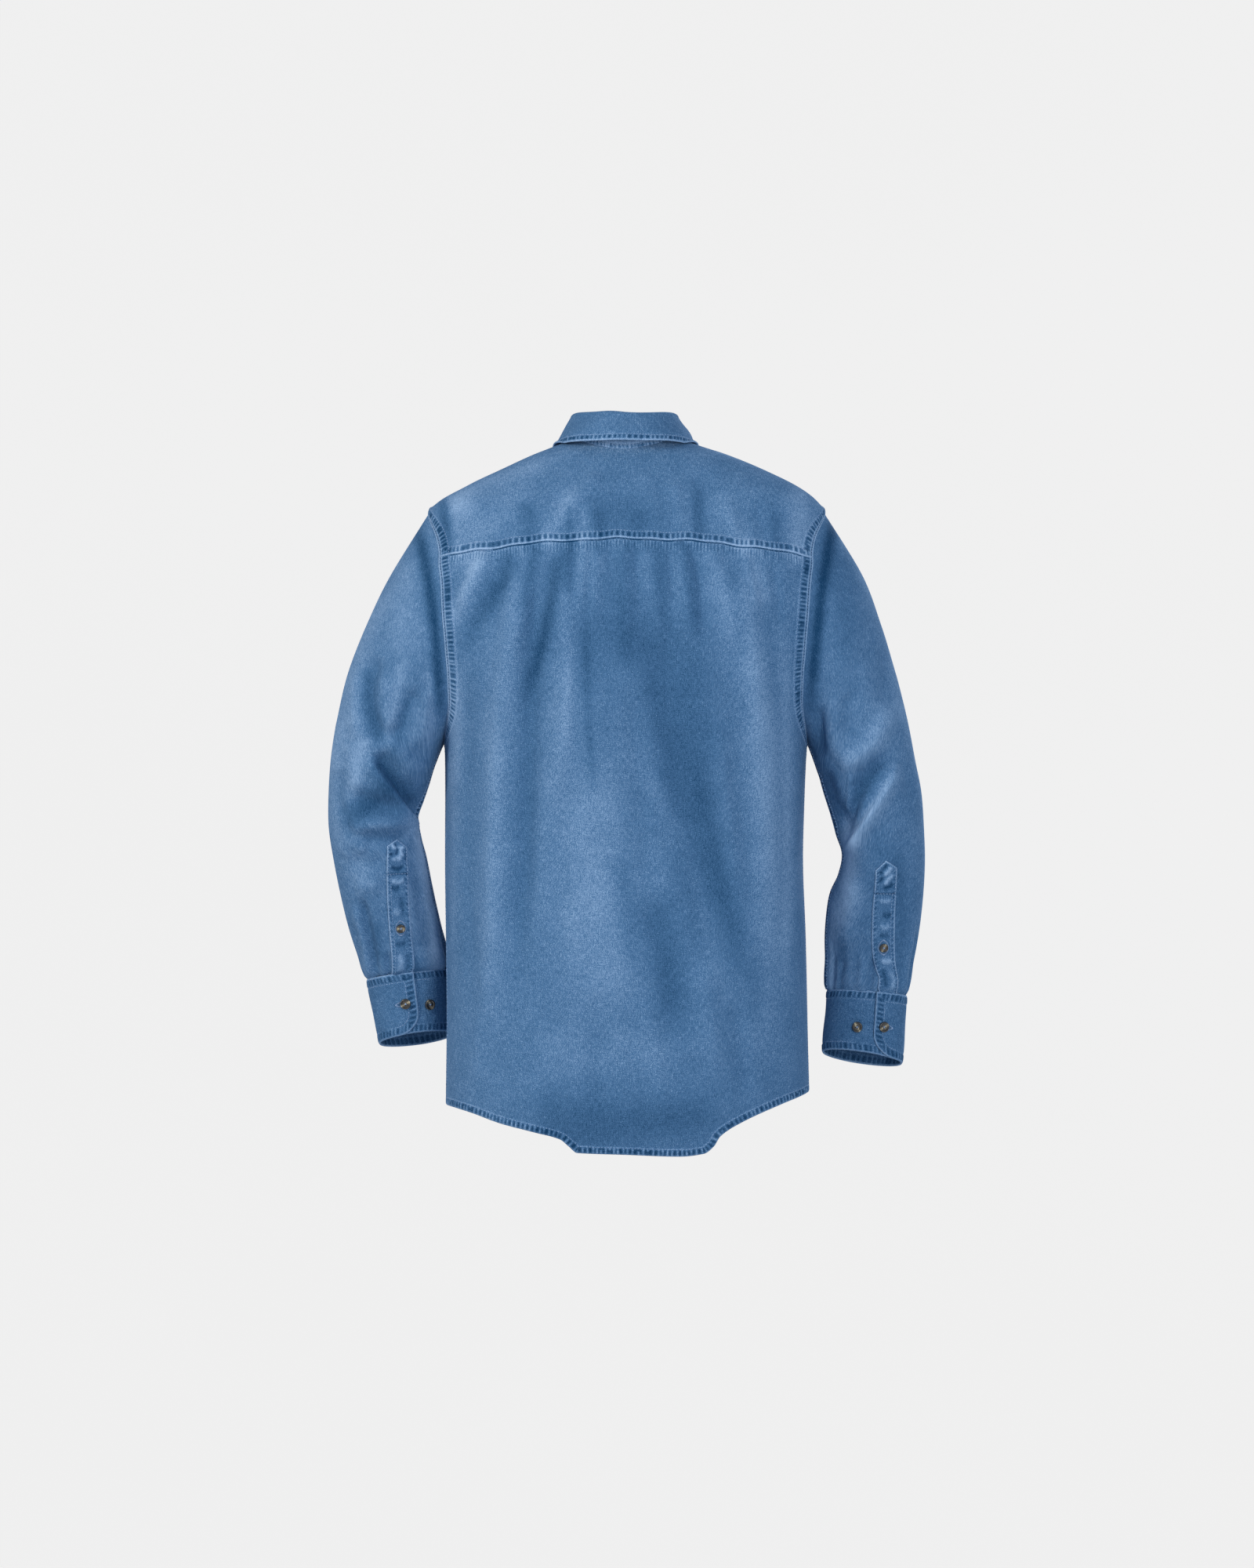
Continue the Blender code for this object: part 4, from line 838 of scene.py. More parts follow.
def threadShape(length, radius, bow):
    build = bmesh.new()
    bmesh.ops.create_uvsphere(build, u_segments=stitch["sides"], v_segments=4, radius=1.0)
    for v in build.verts:
        along = v.co.z
        height = v.co.x * radius + bow * (1 - along * along) - 0.12
        v.co = Vector((along * length / 2, v.co.y * radius, height))
    mesh = bpy.data.meshes.new("oneStitch")
    build.to_mesh(mesh)
    build.free()
    corners = np.array([v.co for v in mesh.vertices], float)
    faces = [tuple(p.vertices) for p in mesh.polygons]
    bpy.data.meshes.remove(mesh)
    return corners, faces


stitchShape = threadShape(stitch["length"], stitch["radius"], stitch["bow"])


# Places, directions and outward directions of evenly spaced stitches on a line
def stitchesOn(line, outward):
    gone = lengthAlong(line)
    count = max(1, int(gone[-1] / stitch["pitch"]))
    at = (np.arange(count) + 0.5) * gone[-1] / count

    def spread(values, measure):
        return np.stack([np.interp(measure, gone, values[:, k]) for k in range(3)], axis=1)

    ahead = spread(line, np.minimum(at + 0.9, gone[-1])) - spread(line, np.maximum(at - 0.9, 0))
    return spread(line, at), unit(ahead), unit(spread(outward, at))


def makeThreads(name, groups, slot="denim", shape=stitchShape, lift=0.0, askew=stitch["askew"]):
    corners, faces = shape
    places, runs, ups = (np.concatenate([g[k] for g in groups]) for k in range(3))
    sideways = unit(np.cross(ups, runs))
    ups = unit(np.cross(runs, sideways))
    if askew:
        dice = np.random.default_rng(7)
        runs = unit(runs + dice.uniform(-askew, askew, (len(places), 1)) * sideways)
    points = (
        places[:, None]
        + corners[None, :, :1] * runs[:, None]
        + corners[None, :, 1:2] * sideways[:, None]
        + (corners[None, :, 2:] + lift) * ups[:, None]
    )
    allFaces = [tuple(i * len(corners) + c for c in f) for i in range(len(places)) for f in faces]
    mesh = bpy.data.meshes.new(name)
    mesh.from_pydata((points.reshape(-1, 3) * mm).tolist(), [], allFaces)
    mesh.validate()
    return dressed(newPiece(name, mesh, sewingThread), slot)


# A felled or folded seam: a low ridge of doubled cloth, puckered between its rows of stitches.
# Each profile row is: distance from the seam, height, the pulls' share in it, wear and painted shade, their share in
# that
foldedSeam = (
    (-16.5, -0.9, 0.0, 0.0, 0.0),
    (-13.5, 0.15, 0.2, 0.0, 0.3),
    (-9.0, 0.3, 0.5, 0.0, 1.1),
    (-4.8, 0.3, 0.5, 0.05, 1.5),
    (-2.8, 0.22, 0.3, 0.25, 1.0),
    (-1.9, 0.15, 0.3, 0.45, 0.9),
    # the dark line under the folded edge is painted shadow
    (-1.3, 0.02, 0.1, -1.2, 0.3),
    (-0.2, 0.0, 0.0, -1.7, 0.0),
    (0.0, 0.95, 0.1, 0.9, 0.3),
    (0.8, 1.15, 0.2, 1.25, 0.4),
    (1.8, 0.8, 0.2, 0.8, 0.5),
    (2.6, 0.85, 0.8, -0.2, 1.4),
    (3.9, 0.9, 1.15, -0.3, 2.3),
    (5.6, 0.85, 1.15, -0.3, 2.3),
    (7.2, 0.6, 0.9, -0.25, 2.0),
    (8.4, 0.35, 0.4, 0.0, 0.9),
    (9.2, 0.15, 0.1, 0.1, 0.2),
    (10.1, 0.2, 0.1, 0.15, 0.1),
    (11.4, -0.7, 0.0, 0.0, 0.0),
    (2.0, -0.9, 0.0, 0.0, 0.0),
    (-6.0, -0.9, 0.0, 0.0, 0.0),
)
felledSeam = (
    (0.3, -1.0, 0.0, 0.0, 0.0),
    (-0.3, 0.0, 0.0, 0.2, 0.0),
    (0.1, 0.9, 0.1, 1.15, 0.2),
    (1.0, 1.1, 0.1, 1.15, 0.2),
    # painted shade in the groove between the two pale edges
    (1.5, 0.6, 0.1, -1.3, 0.3),
    (2.1, 0.6, 0.1, -1.3, 0.3),
    (2.5, 1.1, 0.2, 0.9, 0.6),
    (3.4, 1.1, 0.4, 0.6, 0.8),
    (4.2, 0.9, 0.9, -0.4, 2.4),
    (5.4, 0.95, 1.1, -0.45, 2.9),
    (6.8, 0.95, 1.1, -0.45, 2.9),
    (8.2, 0.8, 0.9, -0.4, 2.5),
    (9.2, 0.5, 0.4, -0.1, 1.0),
    (10.0, 0.25, 0.1, 0.1, 0.2),
    (10.8, 0.3, 0.1, 0.2, 0.1),
    (12.0, -0.7, 0.0, 0.0, 0.0),
)
# The hem's fold goes round the cloth's edge and up the inside
foldedHem = (
    (10.0, -0.75, 0.0, 0.0, 0.0),
    (9.0, 0.15, 0.0, 0.25, 0.0),
    (8.0, 0.15, 0.1, 0.1, 0.2),
    (7.2, 0.45, 0.5, -0.1, 1.4),
    (6.0, 0.75, 1.0, -0.3, 2.5),
    (4.2, 0.85, 1.15, -0.35, 2.9),
    (2.4, 0.8, 1.1, -0.3, 2.7),
    (1.2, 0.65, 0.8, 0.3, 1.6),
    (-0.1, 0.0, 0.4, 0.9, 0.7),
    (-0.4, -0.9, 0.3, 0.3, 0.3),
    (0.2, -1.9, 0.2, 0.1, 0.3),
    (3.0, -2.2, -0.5, 0.0, 0.6),
    (6.5, -2.1, -0.4, 0.0, 0.4),
    (9.2, -1.7, 0.0, 0.0, 0.0),
    (10.0, -1.0, 0.0, 0.0, 0.0),
)


def squareTo(line, way):  # directions along the cloth, square to a line on it, towards way
    away = unit(np.cross(trunkNormal(line), unit(np.gradient(line, axis=0))))
    return away * np.sign((away * way).sum(-1, keepdims=True))


# A seam's ridge and the stitches on it. lay gives the cloth's surface, outward direction and painted shade and light
# near points, and along is how far along the seam each point of its line is
def sewn(name, line, inward, lay, profile, seam, seedShift=0, along=None):
    along = lengthAlong(line) if along is None else along
    pitch, seed = seam["pitch"], seam["seed"] + seedShift
    rows, wearsAndShades, threads = [], [], []
    for distance, height, share, wornAndShaded, shareWorn in profile:
        place, outward, shade = lay(line + distance * inward)
        rope = pulls(along + seam["slant"] * distance, pitch if distance > -0.3 else 0.55 * pitch, seed)
        rows.append(place + (height + seam["pull"] * share * rope)[:, None] * outward)
        wearsAndShades.append(shade + wornAndShaded + shareWorn * rope)
    points, wearsAndShades = (np.stack([*values, values[0]]) for values in (rows, wearsAndShades))
    centre = points[:-1].mean(0, keepdims=True)
    ridge = makeSheet(name, points, unit(points - centre), denimCloth, wearsAndShades, closeRows=True)
    distances, heights, shares = np.array(sorted(row[:3] for row in profile if row[1] > 0)).T
    for distance in seam["stitches"]:
        height, share = np.interp(distance, distances, heights), np.interp(distance, distances, shares)
        place, outward, _ = lay(line + distance * inward)
        rope = pulls(along + seam["slant"] * distance, pitch, seed)
        threads.append(stitchesOn(place + (height + seam["pull"] * share * rope)[:, None] * outward, outward))
    return dressed(ridge), threads


# Trunk panels


def blend(bottom, top, left, right, pull):
    u = np.linspace(0, 1, len(bottom))[None, :, None]
    v = np.linspace(0, 1, len(left))[:, None, None]
    across = (1 - u) * left[:, None] + u * right[:, None]
    return across + (1 - v) ** pull * (bottom[None] - across[:1]) + v**pull * (top[None] - across[-1:])


def panelGrid(bottom, top, left, right, facing):
    lines = []
    for line in (bottom, top, left, right):
        x, y, z = line.T
        turn = np.arctan2(y - middleYAt(z), x - middleXAt(z))
        turn = facing + np.angle(np.exp(1j * (turn - facing)))
        lines.append(np.stack([turn, z], axis=-1))
    flat = blend(*lines, pull=2)
    grid = trunkRingPoint(flat[..., 0], flat[..., 1])
    grid[0], grid[-1], grid[:, 0], grid[:, -1] = bottom, top, left, right
    return grid


def raiseFolds(base, lift=None):  # the trunk's cloth with its folds, over its plain form
    outward = trunkNormal(base)
    rise = trunkFolds(base) + (lift(base[..., 0]) if lift else 0.0)
    return base + rise[..., None] * outward, outward, rise


def layTrunk(points, lift=None):
    base = ontoTrunk(points, 3)
    place, outward, _ = raiseFolds(base, lift)
    return place, outward, trunkShades(base)


def layLeftFront(points):
    return layTrunk(points, overlapLift)


def makePanel(node, grid, panel, lift=None):
    points, outward, rise = raiseFolds(grid, lift)
    # fold crests paler by wear and painted light, hollows darker by painted shade, plus the painted shade and light of
    # the tables
    wornAndShaded = trunkShades(grid) + np.clip(rise - 2, -6, 6) * denim["paleCrest"]
    piece = makeSheet(f"{node}_cloth", points, outward, denimCloth, wornAndShaded,
                      panel["thickness"], inside=denimInside)
    return dressed(piece, "denim", node)


# Columns and rows of the solids' panels. steps: how many of the cloth's stand for one of these
panelSteps = {"side": 14, "backArmhole": 8, "yokeArmhole": 6, "frontArmhole": 10,
              "shoulder": 11, "neck": 14, "back": 36, "frontNeck": 4, "frontHem": 16}
backPanel = {"steps": (5, 5), "thickness": 1.0, "flat": (0.58, 0.70), "area": 0.330}
yokePanel = {"steps": (5, 7), "thickness": 1.0, "flat": (0.50, 0.21), "area": 0.076}
frontPanel = {"steps": (6, 5), "thickness": 1.0, "flat": (0.31, 0.74), "area": 0.184}


def backGrid(columns, rows):
    share = np.linspace(0, 1, panelSteps["back"] * columns + 1)
    turns = np.linspace(math.pi, yokeBackTurn, panelSteps["backArmhole"] * rows + 1)
    left, right = (
        np.concatenate([sideSeam(side, panelSteps["side"] * rows)[:-1], armholePoint(turns, side)])
        for side in (1, -1)
    )
    return panelGrid(hemPoint(math.pi * share, 1), yokeBackSeam(share), left, right, math.pi / 2)


def yokeGrid(columns, rows):
    share = np.linspace(0, 1, panelSteps["back"] * columns + 1)
    shoulder = np.linspace(0, 1, panelSteps["shoulder"] * columns + 1)
    corner = trunk["neckCorner"]
    neck = np.linspace(corner, math.pi - corner, panelSteps["neck"] * columns + 1)
    leftSeam, rightSeam = (yokeFrontSeam(shoulder, side) for side in (1, -1))
    top = np.concatenate([leftSeam[:-1], neckPoint(neck), rightSeam[::-1][1:]])
    turns = np.linspace(yokeBackTurn, yokeFrontTurn, panelSteps["yokeArmhole"] * rows + 1)
    grid = blend(yokeBackSeam(share), top, armholePoint(turns, 1), armholePoint(turns, -1), pull=1)
    grid[1:-1, 1:-1] = ontoTrunk(grid[1:-1, 1:-1])
    return grid


def frontGrid(side, columns, rows):
    neckTurns = np.concatenate([
        [-math.pi / 2 - bandTurnAtNeck, -math.pi / 2],
        np.linspace(bandTurnAtNeck - math.pi / 2, trunk["neckCorner"], panelSteps["frontNeck"]),
    ])
    neck = neckPoint(finer(neckTurns, columns))
    neck[:, 0] *= side
    shoulder = np.linspace(1, 0, panelSteps["shoulder"] * columns + 1)
    top = np.concatenate([neck, yokeFrontSeam(shoulder, side)[1:]])
    hemTurns = [[-bandTurnAtHem, 0, bandTurnAtHem], np.linspace(0, math.pi / 2, panelSteps["frontHem"])[2:]]
    hemTurns = np.concatenate(hemTurns) - math.pi / 2
    hemTurns = finer(hemTurns if side > 0 else math.pi - hemTurns, columns)
    bottom = hemPoint(hemTurns, -1)
    seamRows, armholeRows = panelSteps["side"] * rows, panelSteps["frontArmhole"] * rows
    z = np.linspace(bottom[0, 2], top[0, 2], seamRows + armholeRows + 1)
    edge = trunkAtX(-side * trunk["bandHalfWidth"], z, -1)
    turns = np.linspace(-math.pi, yokeFrontTurn, armholeRows + 1)
    seam = np.concatenate([sideSeam(side, seamRows)[:-1], armholePoint(turns, side)])
    return panelGrid(bottom, top, edge, seam, -math.pi / 2 + side * math.pi / 4)


backCloth = makePanel("back", backGrid(*backPanel["steps"]), backPanel)
yokeCloth = makePanel("yoke", yokeGrid(*yokePanel["steps"]), yokePanel)
leftFront = makePanel("front_left", frontGrid(1, *frontPanel["steps"]), frontPanel, overlapLift)
rightFront = makePanel("front_right", frontGrid(-1, *frontPanel["steps"]), frontPanel)
print("trunk panels made")

# Seams of the trunk. stitches: how far from the seam its rows of stitches are
yokeSeam = {"pitch": 6.2, "slant": 0.12, "pull": 1.1, "steps": 480, "seed": 11, "stitches": (1.5, 9.1)}
armholeSeam = {"pitch": 4.4, "slant": 0.35, "pull": 1.0, "steps": 580, "seed": 23, "stitches": (1.6, 9.9),
               "wider": 0.5}  # over the shoulder blade
sideSeams = {"pitch": 4.6, "slant": 0.3, "pull": 0.8, "steps": 300, "seed": 37, "stitches": (1.6, 9.9)}
hemSeam = {"pitch": 5.3, "slant": 0.55, "pull": 1.0, "steps": 480, "seed": 51, "stitches": (7.9,)}
rearward, upward = np.array([0, 1.0, 0]), np.array([0, 0, 1.0])

share = np.linspace(0.004, 0.996, yokeSeam["steps"])
line = yokeBackSeam(share)
away = squareTo(line, upward)
wander = 0.9 * np.sin(line[:, :1] / 14 + 1.0) + 0.6 * np.sin(line[:, :1] / 6.1)  # sewn by eye
line = line + wander * away * ease(0, 0.04, share)[:, None]
ridge, yokeRows = sewn("yoke_back_seam", line, away, layTrunk, foldedSeam, yokeSeam)
yokeTrims = [ridge]
for side, label in sides:
    line = yokeFrontSeam(np.linspace(0.01, 0.97, 130), side)
    ridge, rows = sewn(f"yoke_front_seam_{label}", line, squareTo(line, rearward), layTrunk, foldedSeam,
                       yokeSeam, 1 + side)
    yokeTrims.append(ridge)
    yokeRows += rows
yokeTrims.append(makeThreads("yoke_stitches", yokeRows))

armholeTrims = {}
for side, label in sides:
    line = armholePoint(np.linspace(-math.pi, math.pi, armholeSeam["steps"]), side)
    away = squareTo(line, line - np.array([side * 215.0, trunk["armholeY"], armholeMiddle]))
    away *= (1 + armholeSeam["wider"] * ease(20, 60, line[:, 1]))[:, None]
    ridge, rows = sewn(f"armhole_seam_{label}", line, away, layTrunk, felledSeam, armholeSeam, side)
    armholeTrims[side] = [ridge, makeThreads(f"armhole_stitches_{label}", rows)]

sideTrims = {}
for side, label in sides:
    line = sideSeam(side, sideSeams["steps"])[2:-4]
    ridge, rows = sewn(f"side_seam_{label}", line, squareTo(line, rearward), layTrunk, felledSeam,
                       sideSeams, side)
    sideTrims[side] = [ridge, makeThreads(f"side_stitches_{label}", rows)]


def hemOf(panel, turns, face, lay, seedShift):
    line = hemPoint(turns, face)
    ridge, rows = sewn(f"{panel}_hem", line, squareTo(line, upward), lay, foldedHem, hemSeam, seedShift)
    return [ridge, makeThreads(f"{panel}_hem_stitches", rows)]


frontTurns = np.linspace(-bandTurnAtHem, math.pi / 2, 250)
backHem = hemOf("back", np.linspace(0.0, math.pi, hemSeam["steps"]), 1, layTrunk, 0)
leftHem = hemOf("front_left", frontTurns - math.pi / 2, -1, layLeftFront, 1)
rightHem = hemOf("front_right", 1.5 * math.pi - frontTurns, -1, layTrunk, 2)
print("trunk seams made")

# Sleeves. outer x, outer z, inner x, inner z, middle y, half depth, tip of the back edge in degrees
sleeve = {
    "left": (
        (257, -136, 204.0, -332, -4, 78, 0), (285, -193, 208.0, -342, -3, 71, 0),
        (306, -247, 212.5, -354, -4, 65, 0), (318, -297, 217.0, -369, -7, 61, 0),
        (325, -340, 223.0, -388, -12, 59, 0), (328, -379, 229.5, -410, -18, 57, 0),
        (328, -417, 226.5, -430, -24, 54, 0), (323, -452, 221.0, -450, -29, 51, 0),
        (315, -493, 214.0, -485, -37, 47, 0), (305, -534, 205.5, -524, -46, 43, 1),
        (294, -567, 197.5, -554, -54, 40, 3), (285, -587, 194.5, -576, -59, 37, 5),
    ),
    "right": (
        (-260, -137, -204.5, -334, -4, 78, 0), (-282, -194, -209.0, -346, -3, 71, 0),
        (-298, -247, -214.0, -361, -4, 65, 0), (-311, -298, -219.0, -379, -7, 61, 0),
        (-320, -344, -226.0, -401, -11, 58, 0), (-327, -380, -232.5, -424, -16, 55, 0),
        (-330, -422, -240.0, -447, -22, 52, 0), (-331, -457, -236.0, -470, -27, 50, 0),
        (-329, -496, -226.0, -494, -34, 46, 0), (-324, -539, -221.5, -533, -42, 42, 1),
        (-317, -576, -222.0, -571, -50, 39, 3), (-310, -605, -223.0, -599, -55, 37, 5),
    ),
    "ringSteps": 8,
    "turnSteps": 7,
    "thickness": 1.0,
    "flat": (0.46, 0.60),
    "area": 0.158,
    # folds as above, seen from the back, then from the front
    "leftBack": (
        (284, -338, 257, -374, 210, -440, 9, 6.5, 0.75), (281, -335, 254, -370, 208, -434, 10, -9.5, -0.62),
        (262, -318, 246, -340, 222, -366, 12, 3.5), (300, -320, 300, -350, 292, -384, 10, 3.0),
        (304, -384, 275, -392, 240, -398, 11, -5.5), (306, -418, 275, -414, 236, -412, 9, 6.0),
        (296, -432, 262, -432, 240, -436, 9, -3.5),
        (313, -350, 317, -380, 314, -412, 7, -2.2), (284, -444, 300, -436, 318, -450, 10, 3.0),
        (272, -224, 282, -276, 262, -334, 10, -5.5, 0.3), (296, -240, 298, -290, 288, -335, 9, 3.4),
        (228, -262, 243, -298, 258, -330, 10, -4.5), (262, -250, 262, -285, 258, -316, 9, 3.6),
        (218, -262, 220, -296, 232, -336, 8, 3.0), (318, -290, 322, -330, 318, -372, 8, 1.6),
        (292, -494, 283, -540, 270, -606, 5.0, -6.5), (300, -500, 290, -545, 278, -606, 5, 3.4),
        (262, -552, 261, -580, 263, -608, 3.4, -4.0), (255, -545, 253, -575, 252, -604, 4, 1.8),
        (300, -520, 293, -556, 284, -600, 4, -2.4), (232, -470, 224, -510, 216, -560, 9, -2.4),
        (246, -450, 238, -500, 230, -560, 8, 1.8), (214, -500, 208, -540, 200, -584, 6, 1.8),
        (306, -452, 284, -458, 262, -452, 9, -2.6), (300, -482, 286, -484, 268, -476, 9, 2.4),
    ),
    "rightBack": (
        (-240, -448, -270, -402, -306, -338, 7, 8.0, 0.5),
        (-238, -436, -257, -384, -296, -328, 10, -8.5, -0.40),
        (-230, -352, -268, -330, -298, -268, 13, 7.0), (-249, -356, -246, -382, -240, -408, 3.6, 3.6),
        (-215, -352, -226, -385, -240, -430, 9, -5.0), (-262, -352, -256, -366, -250, -380, 6, -2.6),
        (-212, -284, -214, -312, -216, -344, 8, -5.5, 0.4), (-226, -270, -229, -306, -232, -345, 8, 3.2),
        (-252, -470, -248, -510, -240, -556, 11, 3.4), (-238, -540, -232, -570, -230, -600, 8, -2.4),
        (-262, -230, -268, -270, -266, -306, 9, 1.8), (-240, -270, -247, -296, -246, -322, 8, -2.6),
        (-284, -210, -286, -250, -284, -290, 8, -1.6), (-300, -420, -308, -460, -310, -500, 9, -1.8),
        (-296, -346, -312, -366, -316, -400, 8, -2.6),
        (-328, -526, -320, -566, -310, -620, 4.8, -6.5), (-318, -534, -311, -572, -302, -620, 5, 3.0),
        (-274, -560, -270, -590, -268, -622, 3.6, -4.0), (-262, -556, -260, -588, -258, -622, 4, 2.0),
        (-240, -560, -238, -585, -236, -620, 4, -2.2),
    ),
    # painted shade and painted light, seen from the back: shade beside the armhole seams and in the elbow folds, light
    # on the sleeves' outer and inner edges
    "leftShades": (
        (232, -70, 211, -186, 202, -318, 7, -1.40), (279, -342, 261, -366, 234, -398, 11.5, -0.88),
        (300, -398, 270, -404, 234, -406, 12, -0.42), (254, -366, 282, -391, 316, -420, 13, -0.72),
        (262, -140, 298, -236, 320, -400, 15, 0.46), (252, -110, 246, -170, 240, -240, 22, 0.30),
        (284, -236, 282, -284, 262, -338, 8, -0.60), (302, -440, 296, -460, 290, -500, 14, 0.30),
        (240, -480, 224, -530, 214, -570, 14, 0.20), (246, -274, 236, -300, 226, -330, 22, 0.10),
        (217, -232, 213, -290, 220, -345, 6, 0.50), (244, -222, 253, -282, 270, -340, 6, 0.45),
        (238, -268, 246, -308, 260, -352, 6, -0.42), (282, -312, 296, -352, 301, -396, 8, 0.60),
        (234, -396, 214, -505, 194, -690, 9, 1.10), (244, -466, 244, -526, 246, -594, 8, 0.55),
        (278, -516, 273, -545, 268, -574, 6, -0.50), (233, -556, 231, -580, 229, -606, 6, -0.65),
        (288, -560, 278, -584, 272, -606, 8, 0.10), (320, -270, 324, -350, 316, -470, 7, 0.35),
    ),
    "rightShades": (
        (-234, -56, -214, -170, -202, -304, 7.5, -1.60), (-203, -262, -206, -306, -216, -350, 8, -0.20),
        (-234, -352, -270, -328, -296, -262, 13, 0.26), (-242, -432, -257, -384, -288, -340, 9, -0.20),
        (-246, -446, -268, -405, -300, -346, 9, 0.45), (-232, -104, -240, -170, -237, -244, 14, -0.36),
        (-258, -150, -276, -220, -290, -270, 22, -0.06), (-228, -560, -250, -580, -280, -600, 18, -0.10),
        (-246, -388, -244, -460, -236, -548, 8, 1.00), (-230, -480, -228, -560, -228, -690, 7, 0.80),
        (-246, -368, -250, -440, -252, -540, 9, 0.50), (-238, -418, -258, -384, -292, -342, 11, -0.48),
        (-292, -430, -305, -520, -298, -630, 10, -0.45), (-279, -412, -281, -470, -276, -550, 12, -0.30),
        (-246, -540, -248, -576, -262, -622, 9, 0.20), (-288, -222, -296, -262, -304, -310, 7, 0.22),
    ),
    "leftFront": (
        (230, -414, 262, -392, 304, -348, 10, 6.0, 0.4), (234, -432, 268, -420, 306, -388, 9, -6.0, -0.3),
        (228, -448, 258, -446, 296, -430, 9, 3.0),
        (280, -210, 270, -270, 246, -330, 12, -4.0), (298, -220, 292, -280, 276, -340, 9, 2.6),
        (300, -470, 284, -510, 274, -560, 10, 3.0), (256, -480, 248, -530, 240, -590, 7, -2.4),
        (250, -240, 244, -280, 236, -310, 8, 1.8), (314, -400, 306, -440, 296, -470, 8, 1.8),
    ),
    "rightFront": (
        (-240, -440, -270, -415, -308, -366, 10, 6.0, -0.4),
        (-244, -462, -274, -448, -312, -414, 9, -6.0, 0.3),
        (-240, -478, -264, -474, -300, -456, 9, 3.0),
        (-284, -220, -272, -290, -246, -352, 12, -4.0), (-300, -230, -292, -300, -274, -360, 9, 2.6),
        (-306, -490, -290, -540, -276, -580, 10, 3.0), (-262, -500, -256, -550, -250, -612, 7, -2.4),
        (-252, -250, -246, -290, -240, -326, 8, 1.8), (-318, -400, -312, -440, -300, -480, 8, 1.8),
    ),
    # small pleats and gathers into the cuff: turn in degrees, half width in mm, depth
    "leftPleats": ((-40, 5, -3.5), (-80, 5, -3.0), (-120, 5, -2.5), (160, 5, -2.5), (5, 4, -2.0)),
    "rightPleats": ((-38, 5, -3.5), (-85, 5, -3.0), (-125, 5, -2.5), (150, 5, -2.5), (8, 4, -2.0)),
    "frontTurns": np.linspace(-math.pi, yokeFrontTurn, panelSteps["frontArmhole"] + 1),
    "yokeTurns": np.linspace(yokeFrontTurn, yokeBackTurn, panelSteps["yokeArmhole"] + 1),
    "backTurns": np.linspace(yokeBackTurn, math.pi, panelSteps["backArmhole"] + 1),
    "rings": np.concatenate([[0, 0.25], np.linspace(0.6, 12, 18)]),
}
sleeve["turns"] = np.concatenate([sleeve["frontTurns"][:-1], sleeve["yokeTurns"][:-1], sleeve["backTurns"]])
# the underarm seam, on the inner side, and how far off the cloth its two rows of stitches lie
sleeveSeam = {"pitch": 4.5, "slant": 0.3, "pull": 0.8, "steps": 330, "seed": 61, "stitches": (),
              "threads": ((1.9, 0.85), (9.8, 0.45))}


def ringFrame(row):
    outerX, outerZ, innerX, innerZ, middleY, halfDepth, tip = row
    outer, inner = np.array([outerX, 0, outerZ]), np.array([innerX, 0, innerZ])
    tip = math.radians(tip)
    middle = (outer + inner) / 2 + np.array([0, middleY, 0])
    return middle, (outer - inner) / 2, halfDepth * np.array([0, math.cos(tip), math.sin(tip)])


def sleeveForm(side, ring, turn):
    shape = np.broadcast(ring, turn).shape
    ring = np.broadcast_to(np.asarray(ring, float), shape).ravel()
    turn = np.broadcast_to(np.asarray(turn, float), shape).ravel()
    stations = [armholePoint(turn, side)]
    for row in sleeve[sideName[side]]:
        middle, outward, backward = ringFrame(row)
        stations.append(middle + np.cos(turn)[:, None] * outward + np.sin(turn)[:, None] * backward)
    stations = np.stack(stations)
    pick = np.arange(len(turn))
    cell = np.clip(ring.astype(int), 0, len(stations) - 2)
    share = (ring - cell)[:, None]
    before, start, end, after = (
        stations[np.clip(cell + k, 0, len(stations) - 1), pick] for k in (-1, 0, 1, 2)
    )
    leave, arrive = (end - before) / 2, (after - start) / 2
    left = start * (1 + 2 * share) + leave * share
    right = end * (3 - 2 * share) - arrive * (1 - share)
    return (left * (1 - share) ** 2 + right * share**2).reshape(*shape, 3)


def sleeveNormal(side, ring, turn):
    reach = 0.05
    below = sleeveForm(side, np.minimum(ring + reach, 12), turn)
    above = sleeveForm(side, np.maximum(ring - reach, 0), turn)
    around = sleeveForm(side, ring, turn + reach) - sleeveForm(side, ring, turn - reach)
    return unit(np.cross(below - above, around)) * side


def laySleeve(side, ring, turn):
    form, outward = sleeveForm(side, ring, turn), sleeveNormal(side, ring, turn)
    x, z = form[..., 0], form[..., 2]
    label = sideName[side]
    lift = ease(-0.1, 0.5, outward[..., 1]) * foldHeight(x, z, sleeve[label + "Back"])
    lift += ease(-0.1, 0.5, -outward[..., 1]) * foldHeight(x, z, sleeve[label + "Front"])
    lift *= ease(0.2, 1.3, ring) * (1 - 0.45 * ease(11.3, 12, ring))
    ring, turn = np.broadcast_arrays(ring, turn)
    intoCuff = ease(9.6, 11.4, ring) * (1 - 0.35 * ease(11.6, 12, ring))
    for degrees, width, depth in sleeve[label + "Pleats"]:
        away = np.angle(np.exp(1j * (turn - math.radians(degrees)))) * 42
        lift = lift + depth * np.exp(-((away / width) ** 2)) * intoCuff
    lift = lift + 2.0 * ease(10.6, 11.5, ring) * (1 - ease(11.6, 12, ring))
    return form + lift[..., None] * outward, outward, lift


def sleeveShades(side, points, outward):
    shade = foldHeight(points[..., 0], points[..., 2], sleeve[sideName[side] + "Shades"])
    return shade * ease(-0.4, 0.2, outward[..., 1])


